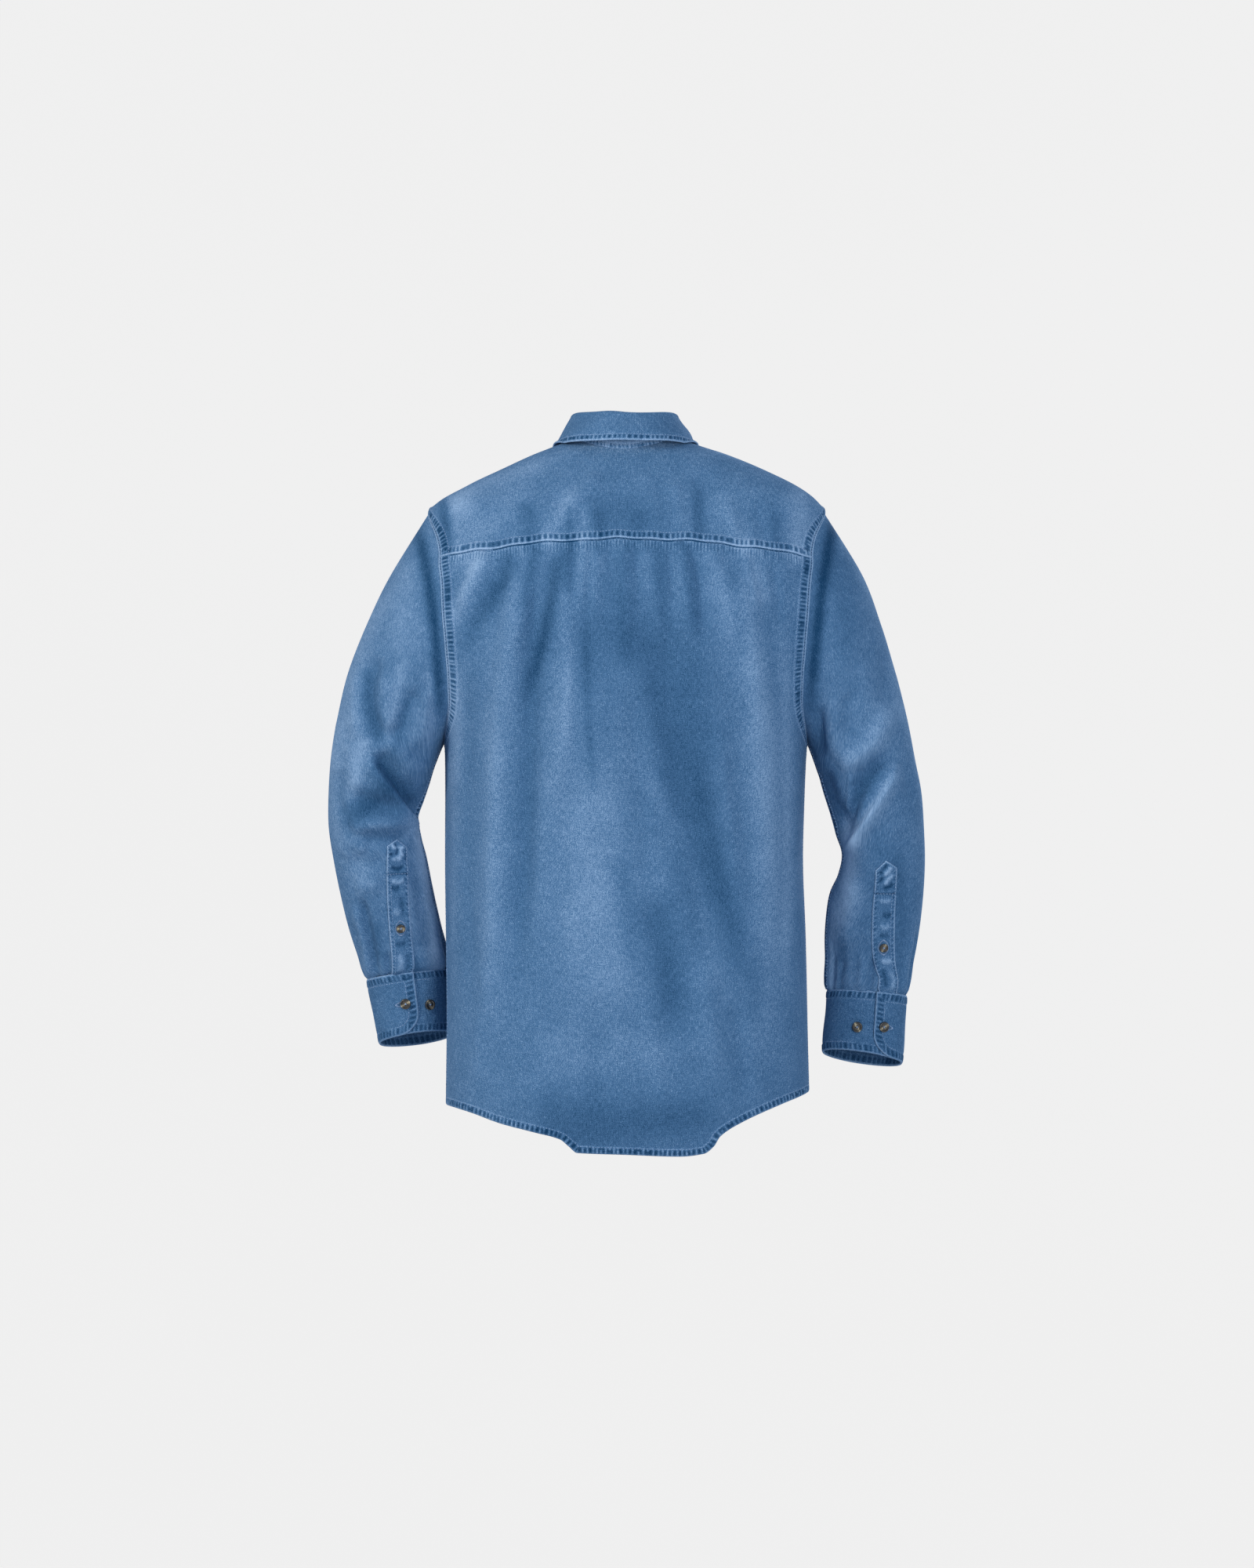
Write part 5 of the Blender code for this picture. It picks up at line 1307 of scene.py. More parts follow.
sleeveCloth, sleeveTrims = {}, {}
for side, label in sides:
    rings = finer(sleeve["rings"], sleeve["ringSteps"])[:, None]
    turns = finer(sleeve["turns"], sleeve["turnSteps"])[None, :]
    points, outward, lift = laySleeve(side, rings, turns)
    # fold crests paler by wear and painted light, hollows darker by painted shade, plus the sleeve's painted shade and
    # light
    wornAndShaded = np.clip(lift, -6, 6) * denim["paleCrest"] + sleeveShades(side, points, outward)
    points[:, -1] = points[:, 0]
    # two more rings are tucked into the cuff
    tucked = points[-1] + (np.minimum(lift[-1], 0) - lift[-1] - 2.4)[:, None] * outward[-1]
    downward = unit(points[-1] - points[-9])
    points = np.concatenate([points, [tucked + 2.0 * downward, tucked + 6.0 * downward]])
    outward, wornAndShaded = (np.concatenate([values, values[-1:], values[-1:]]) for values in (outward, wornAndShaded))
    piece = makeSheet(f"sleeve_{label}_cloth", points, outward, denimCloth, wornAndShaded,
                      sleeve["thickness"], closeColumns=True, inside=denimInside, uvStart=(0.3 * side, 0.9))
    sleeveCloth[side] = dressed(piece, "denim", f"sleeve_{label}")

    ringAt = np.linspace(0.25, 11.9, sleeveSeam["steps"])
    around = sleeveForm(side, ringAt, math.pi + 0.02) - sleeveForm(side, ringAt, math.pi - 0.02)
    perTurn = np.linalg.norm(around, axis=-1) / 0.04

    def layUnderarm(points, side=side, ringAt=ringAt, perTurn=perTurn):  # x holds the distance from the seam
        place, outward, _ = laySleeve(side, ringAt, math.pi - points[:, 0] / perTurn)
        return place, outward, np.zeros(len(ringAt))

    onSeam, aside = np.zeros((len(ringAt), 3)), np.array([1.0, 0, 0])
    along = lengthAlong(layUnderarm(onSeam)[0])
    ridge, _ = sewn(f"sleeve_seam_{label}", onSeam, aside, layUnderarm, felledSeam, sleeveSeam, side, along)
    lines = []
    for distance, height in sleeveSeam["threads"]:
        place, outward, _ = layUnderarm(onSeam + distance * aside)
        lines.append(stitchesOn(place + height * outward, outward))
    sleeveTrims[side] = [ridge, makeThreads(f"sleeve_stitches_{label}", lines)]
print("sleeves made")


# Doubled pieces with a stitched border. The relief rounds the edge, puckers the border and sinks the stitches
def borderRelief(distance, along, seed, trim):
    width, edge = trim["border"], trim["paleEdge"]
    rope = pulls(along + 0.2 * distance, trim["pitch"], seed)
    inBand = ease(edge * 0.7, edge * 1.5, distance) * (1 - ease(width - 1.8, width - 0.4, distance))
    groove = np.exp(-(((distance - width) / 0.9) ** 2))
    height = -0.75 * np.exp(-((distance / 0.8) ** 2)) - 0.4 * groove
    height = height + trim["pull"] * rope * inBand + 0.15 * inBand
    wornAndShaded = 1.2 * np.exp(-((distance / edge) ** 4)) + trim["dashes"] * rope * inBand
    return height, wornAndShaded + 0.3 * groove - 0.3 * inBand


# Collar stand and leaf
collarStand = {
    "topX": 1.0,
    "topY": -9.0,
    "topHalfWidth": 53.0,
    "topHalfDepth": 54.0,
    "top": ((0, 36.0), (45, 37.0), (90, 35.0), (120, 20.0), (150, -9.0), (170, -28.0), (180, -29.5)),
    "border": 6.4,
    "paleEdge": 0.9,
    "pitch": 4.2,
    "pull": 0.6,
    "dashes": 2.2,
    "corner": 12.0,
    "columns": 330,
    "rows": 26,
    "stitchRows": (3, 5),
    "thickness": 2.0,
    "flat": (0.43, 0.045),
    "area": 0.0165,
}
collarLeaf = {
    # turn from the back in degrees, then where the edge lies
    "edge": (
        (0, 0.0, 67.0, 8.0), (30, 35.0, 61.0, 7.5), (60, 60.5, 41.0, 6.0), (84, 74.5, 12.0, 2.0),
        (105, 79.0, -16.0, -4.0), (125, 78.0, -42.0, -18.0), (145, 70.0, -64.0, -40.0),
        (162, 60.0, -80.0, -64.0), (172, 52.0, -89.0, -88.0),
    ),
    "end": math.radians(172),
    "clearance": (2.6, 4.4),
    "bulge": 2.0,
    "border": 7.8,
    "paleEdge": 2.4,
    "pitch": 5.8,
    "pull": 0.9,
    "dashes": 2.5,
    "columns": 300,
    "rows": 40,
    "thickness": 2.0,
    "flat": (0.47, 0.085),
    "area": 0.0235,
}


def ovalPoint(turn, halfWidth, halfDepth, middleX, middleY, z):
    return pointOf(middleX + halfWidth * np.cos(turn), middleY + halfDepth * np.sin(turn), z)


def ovalNormal(turn, halfWidth, halfDepth):
    return unit(pointOf(np.cos(turn) / halfWidth, np.sin(turn) / halfDepth, 0))


def standTop(turn):
    z = smoothLine(*columnsOf(collarStand["top"]))(np.degrees(np.arccos(np.clip(np.sin(turn), -1, 1))))
    return ovalPoint(turn, *(collarStand[k] for k in ("topHalfWidth", "topHalfDepth", "topX", "topY")), z)


def standFoot(turn):
    nearFront = ease(0.6, 1.0, -np.sin(turn))[..., None]
    return neckPoint(turn) + nearFront * np.array([0, -2.0, 2.5]) + np.array([0, 0, 0.5])


def makeStand():
    doubled, gap = trunk["doubled"], trunk["layerGap"]
    travel = np.linspace(0, 2 * math.pi + 2 * bandTurnAtNeck, collarStand["columns"] + 1)
    turn = -math.pi / 2 - bandTurnAtNeck + travel
    bottom, top = standFoot(turn), standTop(turn)
    bottom = bottom - np.array([0, 0, 1.7])  # sewn over the panels' edges
    outward = ovalNormal(turn, trunk["neckHalfWidth"], trunk["neckHalfDepth"])
    shift = (0.5 - travel / (2 * math.pi)) * (doubled + gap)
    fromEnd = np.minimum(travel, travel[-1] - travel) * trunk["neckHalfWidth"]
    corner = collarStand["corner"]
    rounding = corner - np.sqrt(np.clip(corner**2 - np.clip(corner - fromEnd, 0, None) ** 2, 0, None))
    rise = np.linalg.norm(top - bottom, axis=-1)
    top = top + (bottom - top) * (rounding / rise * (fromEnd < corner))[:, None]
    share = np.linspace(0, 1, collarStand["rows"])
    grid = bottom + (top - bottom) * share[:, None, None] + (shift[:, None] * outward)[None]
    fromFoot = share[:, None] * rise
    distance = np.minimum.reduce([fromFoot, rise - fromFoot + 1.0, np.broadcast_to(fromEnd, fromFoot.shape)])
    height, wornAndShaded = borderRelief(distance, travel * trunk["neckHalfWidth"], 71, collarStand)
    outs = np.broadcast_to(outward, grid.shape)
    points = grid + (doubled / 2 - trunk["sunk"] + height)[..., None] * outs
    paintedLightUnderLeaf = 1.05 * (1 - ease(7, 16, fromFoot)) * ease(0, 0.5, np.sin(turn))  # painted light that lifts the leaf's shadow off the stand's foot at the back
    wornAndShaded = wornAndShaded - 0.15 + paintedLightUnderLeaf
    piece = makeSheet("collar_stand_cloth", points, outs, denimTrim, wornAndShaded, collarStand["thickness"])
    lines = [stitchesOn(points[row, 4:-4], outs[row, 4:-4]) for row in collarStand["stitchRows"]]
    threads = makeThreads("collar_stand_stitches", lines, "denim_trim")
    return dressed(piece, "denim_trim", "collar_stand"), threads


def makeLeaf():
    doubled, gap = trunk["doubled"], trunk["layerGap"]
    turnDegrees, edgeX, edgeY, edgeZ = columnsOf(collarLeaf["edge"])
    fromBack = np.linspace(-collarLeaf["end"], collarLeaf["end"], collarLeaf["columns"] + 1)
    turn = math.pi / 2 - fromBack
    away = np.degrees(np.abs(fromBack))
    edgeX, edgeY, edgeZ = (smoothLine(turnDegrees, column)(away) for column in (edgeX, edgeY, edgeZ))
    edge = pointOf(np.sign(fromBack) * edgeX, edgeY, edgeZ)
    fold = standTop(turn)
    outward = ovalNormal(turn, collarStand["topHalfWidth"], collarStand["topHalfDepth"])
    up = unit(np.cross(np.gradient(fold, axis=0), outward))
    over = fold + (doubled / 2 + gap + 0.3) * up
    bend = fold + 3.9 * outward + 2.2 * up
    shoulder = fold + 6.0 * outward - 1.5 * up
    share = np.linspace(0, 1, collarLeaf["rows"])[:, None, None]
    down = shoulder + (edge - shoulder) * share + collarLeaf["bulge"] * np.sin(math.pi * share) * outward
    nearBand = 1 - ease(30, 60, np.abs(down[..., 0]))
    low, high = collarLeaf["clearance"]
    clearance = low + (high - low) * nearBand
    for _ in range(4):
        slope = trunkSlope(down)
        steep = np.linalg.norm(slope, axis=-1)
        short = np.clip(clearance - trunkLevel(down) / steep, 0, None)
        down += (short / steep)[..., None] * slope
    # a rounded fold between the over, bend and shoulder lines
    t = np.linspace(0, 1, 9)[1:-1, None, None]
    pulled = bend * 1.25 - (shoulder + over) * 0.125
    rounded = (1 - t) ** 2 * shoulder + 2 * t * (1 - t) * pulled + t**2 * over
    grid = np.concatenate([down[::-1], rounded, over[None]])
    normals = unit(np.cross(np.gradient(grid, axis=0), np.gradient(grid, axis=1)))
    length = np.linalg.norm(edge - shoulder, axis=-1)
    fromEdge = np.concatenate([share[..., 0] * length, np.repeat(length[None] + 6, len(t) + 1, axis=0)])
    run = lengthAlong(edge)
    fromEnd = np.minimum(run, run[-1] - run) * 0.97
    along = np.where(fromEdge < fromEnd, run, fromEdge + 500)
    height, wornAndShaded = borderRelief(np.minimum(fromEdge, fromEnd), along, 81, collarLeaf)
    x = grid[..., 0]
    ripple = 0.7 * np.sin(x / 17 + 0.6) * ease(0, 20, fromEdge) + 0.5 * np.sin(x / 9 + fromEdge / 6)
    points = grid + (doubled / 2 - trunk["sunk"] + height + ripple)[..., None] * normals
    # paler where the ripples stand out and darker in their hollows: painted light and painted shade
    wornAndShaded = wornAndShaded + 0.05 * ripple
    piece = makeSheet("collar_cloth", points, normals, denimTrim, wornAndShaded, collarLeaf["thickness"])
    # stitches along the border, and up both ends to the fold
    near = np.clip(np.rint(collarLeaf["border"] / length * (collarLeaf["rows"] - 1)), 0, 30).astype(int)
    columns = np.flatnonzero(fromEnd > collarLeaf["border"])
    lines = [stitchesOn(points[near[columns], columns], normals[near[columns], columns])]
    for end in columns[[0, -1]]:
        lines.append(stitchesOn(points[near[end] : 38, end], normals[near[end] : 38, end]))
    return dressed(piece, "denim_trim", "collar"), makeThreads("collar_stitches", lines, "denim_trim")


standCloth, standThreads = makeStand()
leafCloth, leafThreads = makeLeaf()
print("collar made")

# Cuffs
cuff = {
    "leftFoot": (271.5, -658, 190.5, -647, -68, 38, 11),
    "rightFoot": (-305.0, -680, -218.0, -667, -63, 38, 11),
    "leftEnd": math.radians(97),
    "rightEnd": math.radians(76),
    "corner": 26.0,
    "border": 10.4,
    "edgeStitch": 1.6,
    "paleEdge": 1.9,
    "pitch": 5.6,
    "pull": 0.95,
    "dashes": 1.9,
    "underlap": math.radians(38),
    "height": 74.0,
    "columns": 250,
    "rows": 54,
    "thickness": 2.0,
    "flat": (0.285, 0.075),
    "area": 0.0205,
}


def cuffForm(side, turn, down):
    top = ringFrame(sleeve[sideName[side]][-1])
    foot = ringFrame(cuff[sideName[side] + "Foot"])
    down, turn = (np.asarray(a, float)[..., None] for a in (down, turn))
    middle, outward, backward = (a + (b - a) * down for a, b in zip(top, foot))
    return middle + np.cos(turn) * outward + np.sin(turn) * backward


def cuffPoint(side, turn, down, out):
    reach = 0.02
    place = cuffForm(side, turn, down)
    around = cuffForm(side, turn + reach, down) - cuffForm(side, turn - reach, down)
    along = cuffForm(side, turn, down + reach) - place
    outward = unit(np.cross(along, around)) * side
    return place + np.asarray(out)[..., None] * outward, outward


def cuffLayer(travel):
    return (0.5 - travel / (2 * math.pi)) * (trunk["doubled"] + trunk["layerGap"])


cuffCloth, cuffTrims = {}, {}
for side, label in sides:
    corner, tall, inset = cuff["corner"], cuff["height"], cuff["border"]
    travel = np.linspace(0, 2 * math.pi + cuff["underlap"], cuff["columns"] + 1)
    turn = cuff[label + "End"] - travel
    gone = lengthAlong(cuffForm(side, turn, np.full(turn.shape, 0.5)))
    rounding = corner - np.sqrt(corner**2 - np.clip(corner - gone, 0, None) ** 2)
    foot, top = 1 - rounding / tall, -0.6 / tall  # the upper edge laps over the sleeve
    down = foot + (top - foot) * np.linspace(0, 1, cuff["rows"])[:, None]
    run = np.broadcast_to(gone, down.shape)
    fromFoot, fromTop = (1 - down) * tall, (down - top) * tall
    distance = np.minimum.reduce([fromTop, fromFoot, run, gone[-1] - run])
    # near the rounded corner the distance to the edge is measured square to the curve
    cornerAway = corner - np.hypot(np.clip(corner - run, 0, None), np.clip(corner - fromFoot, 0, None))
    inCorner = (run < corner) & (fromFoot < corner)
    distance = np.where(inCorner, np.clip(cornerAway, 0, None), distance)
    along = np.where(run <= np.minimum(fromTop, fromFoot), 700 + fromFoot, run)
    height, wornAndShaded = borderRelief(distance, along, 91 + side, cuff)
    out = cuffLayer(travel) + trunk["doubled"] / 2 - trunk["sunk"] + height
    out = out + 0.35 * np.sin(run / 11 + down * 5) + 0.25 * np.sin(run / 23 - down * 9)
    points, outward = cuffPoint(side, np.broadcast_to(turn, down.shape), down, out)
    piece = makeSheet(f"cuff_{label}_cloth", points, outward, denimTrim, wornAndShaded - 0.12, cuff["thickness"],
                      uvStart=(0.4 * side, -0.2))
    cuffCloth[side] = dressed(piece, "denim_trim", f"cuff_{label}")

    # one line of stitches follows the border all round, and a second one the upper edge
    arc, radius, far = np.linspace(0, math.pi / 2, 12), corner - inset, gone[-1] - inset
    high, low = inset / tall, 1 - inset / tall
    border = np.concatenate([
        (np.linspace(far, corner, 200), np.full(200, low)),
        (corner - radius * np.sin(arc), 1 - (corner - radius * np.cos(arc)) / tall),
        (np.full(30, inset), np.linspace(1 - corner / tall, high, 30)),
        (np.linspace(inset, far, 200), np.full(200, high)),
        (np.full(30, far), np.linspace(high, low, 30)),
    ], axis=1)
    lines = []
    upper = (np.linspace(1.5, gone[-1] - 1.5, 240), np.full(240, cuff["edgeStitch"] / tall))
    for runAt, downAt in (border, upper):
        out = cuffLayer(np.interp(runAt, gone, travel)) + trunk["doubled"] / 2 - stitch["sunk"]
        lines.append(stitchesOn(*cuffPoint(side, np.interp(runAt, gone, turn), downAt, out)))
    cuffTrims[side] = [makeThreads(f"cuff_{label}_stitches", lines, "denim_trim")]
print("cuffs made")

# Sleeve plackets: the ring and the turn at the point and at the cuff
sleevePlacket = {
    "left": ((7.2, math.radians(120)), (12.0, math.radians(81))),
    "right": ((7.7, math.radians(87)), (12.0, math.radians(61))),
    # how far the strip strays sideways at shares of its length
    "leftSway": ((0.0, -1.0), (0.1, 0.6), (0.3, 0.0), (0.6, -0.4), (1.0, 0.0)),
    "rightSway": (
        (0.0, -4.0), (0.06, -2.4), (0.14, -3.2), (0.22, 0.6), (0.31, 3.2), (0.42, 4.0),
        (0.59, 3.0), (0.75, 0.8), (0.92, 0.0), (1.0, 0.0),
    ),
    # creases in the strip itself: across and up from the cuff, as the folds above
    "leftCreases": (
        (-8, 143, -3, 137, 3, 140, 2.2, 1.6), (7, 141, 3, 133, 7, 124, 2.4, 1.5),
        (-9, 131, -4, 126, 1, 131, 2.2, -1.5), (-7, 122, -1, 126, 4, 120, 3.0, 1.7),
        (-8, 116, 0, 113, 8, 117, 2.0, -1.5), (-2, 144, 0, 134, -1, 128, 1.8, -1.2),
        (-8, 104, 0, 102, 8, 104, 2.2, 1.2), (-8, 98, -2, 96, 3, 98, 2.4, -1.1),
        (-7, 78, -1, 76, 4, 78, 3.0, 0.9), (2, 90, 4, 80, 3, 70, 3.0, -0.8),
        (-7, 46, 0, 44, 7, 46, 3.0, -0.9), (-3, 36, -2, 20, -4, 6, 3.0, 0.9), (5, 34, 6, 20, 5, 6, 2.6, -0.8),
    ),
    "rightCreases": (
        (-7, 142, 0, 134, 7, 128, 2.4, 1.6), (-8, 132, -2, 126, 2, 118, 2.4, 1.5),
        (8, 138, 4, 130, 8, 120, 2.2, -1.4), (-8, 122, -3, 116, 4, 115, 2.2, -1.4),
        (-1, 146, 2, 140, 7, 138, 2.0, -1.2), (-7, 103, 0, 101, 7, 103, 2.2, 1.0),
        (-8, 90, -3, 87, 2, 90, 2.4, -1.0), (-7, 80, -1, 77, 4, 80, 2.4, 1.0),
        (-6, 70, 0, 68, 5, 70, 2.6, -0.9),
        (-8, 46, -1, 42, 5, 44, 3.2, 1.2), (4, 36, 5, 24, 3, 8, 2.8, -1.0), (-4, 34, -5, 20, -4, 6, 3.0, 0.8),
    ),
    "halfWidth": 12.0,
    "point": 11.5,
    "edgeStitch": 1.6,
    "length": 150.0,
    "box": 41.0,  # from the point down to the stitched bar
    "rows": 132,
    "columns": 30,
    "thickness": 2.1,
    "flat": (0.024, 0.150),
    "area": 0.0034,
    "gap": 0.9,
}


def placketPoint(side, length, across, out, sway=False):
    if sway:
        stray = smoothLine(*columnsOf(sleevePlacket[sideName[side] + "Sway"]))(length)
        across = across + stray * (0.8 + 0.2 * across / sleevePlacket["halfWidth"])
    (pointRing, pointTurn), (cuffRing, cuffTurn) = sleevePlacket[sideName[side]]
    ring = cuffRing + (pointRing - cuffRing) * length
    turn = cuffTurn + (pointTurn - cuffTurn) * length
    around = sleeveForm(side, ring, turn + 0.01) - sleeveForm(side, ring, turn - 0.01)
    turn = turn + across / (np.linalg.norm(around, axis=-1) / 0.02)
    place, outward, _ = laySleeve(side, ring, turn)
    return place + np.asarray(out)[..., None] * outward, outward


placketCloth, placketTrims = {}, {}
for side, label in sides:
    tall, half, box = sleevePlacket["length"], sleevePlacket["halfWidth"], sleevePlacket["box"]
    point, lying = sleevePlacket["point"], sleevePlacket["gap"] + trunk["cloth"]
    u = np.linspace(-1, 1, sleevePlacket["columns"] + 1)
    tip = 1 - point / tall * np.abs(u)
    length = tip * np.linspace(0, 1, sleevePlacket["rows"] + 1)[:, None]
    across = np.broadcast_to(u * half, length.shape)
    fromTip, fromSide = (tip - length) * tall * 0.8, half - np.abs(across)
    distance = np.minimum(fromTip, fromSide)
    rope = pulls(length * tall + 0.6 * across, 4.6, 101 + side)
    inBox = ease(tall - box - 2, tall - box + 3, length * tall)
    bar = np.exp(-((length * tall - (tall - box)) ** 2))
    edgeGroove = np.exp(-(((fromSide - 1.7) / 0.7) ** 2))
    margin = ease(1.0, 2.2, distance) * (1 - ease(3.0, 5.5, fromSide))
    crease = foldHeight(across, length * tall, sleevePlacket[label + "Creases"]) * ease(0.8, 2.5, distance)
    height = -0.7 * np.exp(-((distance / 0.7) ** 2)) - 0.3 * edgeGroove - 0.6 * bar
    height = height + 0.6 * rope * margin * (0.7 + 0.5 * inBox) + 0.75 * crease
    # the pale edge and the dashes are wear; paler crease crests, darker crease hollows, sunken bar and edge groove are
    # painted light and shade
    wornAndShaded = 1.2 * np.exp(-((distance / 1.4) ** 4)) + 1.6 * rope * margin
    wornAndShaded = wornAndShaded + 0.95 * crease - 1.1 * bar - 0.2 * edgeGroove
    points, outward = placketPoint(side, length, across, lying - trunk["sunk"] + height, sway=True)
    piece = makeSheet(f"sleeve_placket_{label}_cloth", points, outward, denimTrim, wornAndShaded,
                      sleevePlacket["thickness"], uvStart=(0.5 * side, 0.3))
    placketCloth[side] = dressed(piece, "denim_trim", f"sleeve_placket_{label}")

    # stitches along both edges and the point's slopes, beside the opening, and in a bar over the box
    high, edge = lying - stitch["sunk"], half - sleevePlacket["edgeStitch"]
    straight, slope = np.linspace(2, tall - point - 0.6, 90) / tall, np.linspace(1, 0, 12)
    paths = []
    for way in (-1, 1):
        paths.append((straight, way * edge, high))
        paths.append(((tall - point * slope - 1.8) / tall, way * edge * slope, high))
    paths.append((np.linspace(2, tall - box, 70) / tall, 4.6 - half, high + 0.15))
    paths.append((1 - box / tall, np.linspace(-9.6, 9.6, 12), high))
    lines = [stitchesOn(*placketPoint(side, *np.broadcast_arrays(*path), sway=True)) for path in paths]
    placketTrims[side] = [makeThreads(f"sleeve_placket_{label}_stitches", lines, "denim_trim")]
print("sleeve plackets made")

# The button band down the left front's edge
band = {
    "columns": 30,
    "rows": 13,
    "inset": 6.0,
    "edgeStitch": 1.6,
    "neckEnd": 3.5,
    "pitch": 4.8,
    "seed": 121,
    "thickness": 1.6,
    "flat": (0.034, 0.73),
    "area": 0.0235,
}
frontColumns = frontPanel["steps"][0]
bandColumns = np.linspace(0, 2 * frontColumns, band["columns"] + 1)
bandGrid = frontGrid(1, frontColumns, band["rows"])
low = np.floor(bandColumns).astype(int)
part = (bandColumns - low)[None, :, None]
bandGrid = bandGrid[:, low] * (1 - part) + bandGrid[:, np.minimum(low + 1, 2 * frontColumns)] * part
bandGrid[-1] += unit(bandGrid[-2] - bandGrid[-1]) * band["neckEnd"]
bandGrid = ontoTrunk(bandGrid, 3)
bandOut, bandX, bandUp = trunkNormal(bandGrid), bandGrid[..., 0], lengthAlong(bandGrid)
fromSide = trunk["bandHalfWidth"] - np.abs(bandX)
distance = np.minimum(fromSide, bandUp + 1.5)
rope = pulls(bandUp + 0.2 * fromSide, band["pitch"], band["seed"])
inBand = ease(0.8, 2.0, fromSide) * (1 - ease(band["inset"] - 1.4, band["inset"] - 0.3, fromSide))
groove = np.exp(-(((fromSide - band["inset"]) / 0.9) ** 2))
height = -0.7 * np.exp(-((distance / 0.8) ** 2)) - 0.35 * groove + 0.6 * rope * inBand
wornAndShaded = 1.1 * np.exp(-(distance**2)) + 1.2 * rope * inBand + 0.2 * groove
bandLift = 2 * (trunk["cloth"] + trunk["layerGap"])
rise = trunkFolds(bandGrid) + bandLift - trunk["sunk"] + height
bandPoints = bandGrid + rise[..., None] * bandOut
bandCloth = makeSheet("button_band_cloth", bandPoints, bandOut, denimTrim, wornAndShaded, band["thickness"])
dressed(bandCloth, "denim_trim", "button_band")
lines = []
for fromEdge in (band["inset"], band["edgeStitch"]):
    for way in (-1, 1):
        column = int(np.argmin(np.abs(bandX[200] - way * (trunk["bandHalfWidth"] - fromEdge))))
        lines.append(stitchesOn(bandPoints[:-6, column], bandOut[:-6, column]))
bandThreads = makeThreads("button_band_stitches", lines, "denim_trim")
print("button band made")

# Buttons
button = {
    "radius": 5.8,
    "thickness": 2.6,
    "rim": 1.3,
    "rimSlope": 0.7,
    "rounding": 0.75,
    "dish": 0.6,
    "holes": 4,
    "hole": 0.85,
    "holeAway": 1.45,
    "inBand": 6,
    "first": -120.0,
    "spacing": 95.0,
    "placketScale": 0.84,
    "leftCuff": ((-16.5, 0.50), (18.5, 0.56)),  # degrees from the cuff's end, share of its height down
    "rightCuff": ((-14.0, 0.54), (23.5, 0.60)),
    "leftPlacket": (0.41, 0.5),  # share of the length up, distance from the middle
    "rightPlacket": (0.38, 3.5),
}


def buttonShape():
    build = bmesh.new()
    radius = button["radius"]
    rings = [radius, radius - button["rim"], radius - button["rim"] - button["rimSlope"]]
    circles = []
    for size in rings:
        made = bmesh.ops.create_circle(build, cap_ends=False, segments=32, radius=size)
        circles.append({e for v in made["verts"] for e in v.link_edges})
    for outer, inner in zip(circles, circles[1:]):
        bmesh.ops.bridge_loops(build, edges=list(outer | inner))
    holes = set()
    for i in range(button["holes"]):
        spin = math.radians(45 + 360 / button["holes"] * i)
        made = bmesh.ops.create_circle(build, cap_ends=False, segments=10, radius=button["hole"])
        place = Vector((math.cos(spin), math.sin(spin), 0)) * button["holeAway"]
        bmesh.ops.translate(build, verts=made["verts"], vec=place)
        holes |= {e for v in made["verts"] for e in v.link_edges}

    bmesh.ops.triangle_fill(build, use_beauty=True, use_dissolve=False, edges=list(circles[-1] | holes))
    raised = bmesh.ops.extrude_face_region(build, geom=list(build.faces))
    top = [g for g in raised["geom"] if isinstance(g, bmesh.types.BMVert)]
    bmesh.ops.translate(build, verts=top, vec=(0, 0, button["thickness"]))
    for v in top:
        away = math.hypot(v.co.x, v.co.y)
        if away < rings[2] + 0.05:
            v.co.z -= button["dish"] + 0.15 * (1 - away / rings[2])
    bmesh.ops.recalc_face_normals(build, faces=build.faces)
    rim = [
        e for e in build.edges
        if all(abs(math.hypot(v.co.x, v.co.y) - radius) < 1e-3 for v in e.verts)
        and abs(e.verts[0].co.z - e.verts[1].co.z) < 1e-4
    ]
    bmesh.ops.bevel(build, geom=rim, offset=button["rounding"], offset_type="OFFSET", affect="EDGES",
                    segments=3, profile=0.5, material=-1)
    return build


buttonBase = buttonShape()
buttonMesh = bpy.data.meshes.new("buttonBase")
buttonBase.to_mesh(buttonMesh)
buttonBase.free()
threadBar = threadShape(2 * button["holeAway"] + 0.7, 0.42, 0.35)


# A button's horn, and the two bars of thread that cross between its holes
def makeButton(node, place, outward, scale=1.0, spin=0.0):
    across = unit(np.cross([0.0, 0.0, 1.0], outward))
    upward = np.cross(outward, across)
    across, upward = (math.cos(spin) * across + math.sin(spin) * upward,
                      math.cos(spin) * upward - math.sin(spin) * across)
    mesh = buttonMesh.copy()
    mesh.name = node + "_horn"
    corners = np.array([v.co for v in mesh.vertices], float)
    corners[:, :2] *= scale
    moved = place + corners[:, :1] * across + corners[:, 1:2] * upward + corners[:, 2:] * outward
    mesh.vertices.foreach_set("co", (moved * mm).astype(np.float32).ravel())
    streakTurn = 2.2 * spin + 0.5
    streak = (math.cos(streakTurn) * corners[:, 0] + math.sin(streakTurn) * corners[:, 1]) / button["radius"]
    mesh.attributes.new("across", "FLOAT", "POINT").data.foreach_set("value", streak.astype(np.float32))
    piece = newPiece(node + "_horn", mesh, hornPolyester)
    mesh.set_sharp_from_angle(angle=math.radians(38))
    dressed(piece, "horn_button", node)
    top = place + (button["thickness"] - button["dish"] - 0.05) * outward
    turns = (math.radians(45), math.radians(135))
    return [(top[None], (math.cos(t) * across + math.sin(t) * upward)[None], outward[None]) for t in turns]


# A sewn buttonhole: a lens-shaped ring of close bars round the slit
buttonhole = {"bar": 1.7, "pitch": 0.62, "radius": 0.27, "halfLength": 8.0}
barShape = threadShape(buttonhole["bar"], buttonhole["radius"], 0.12)


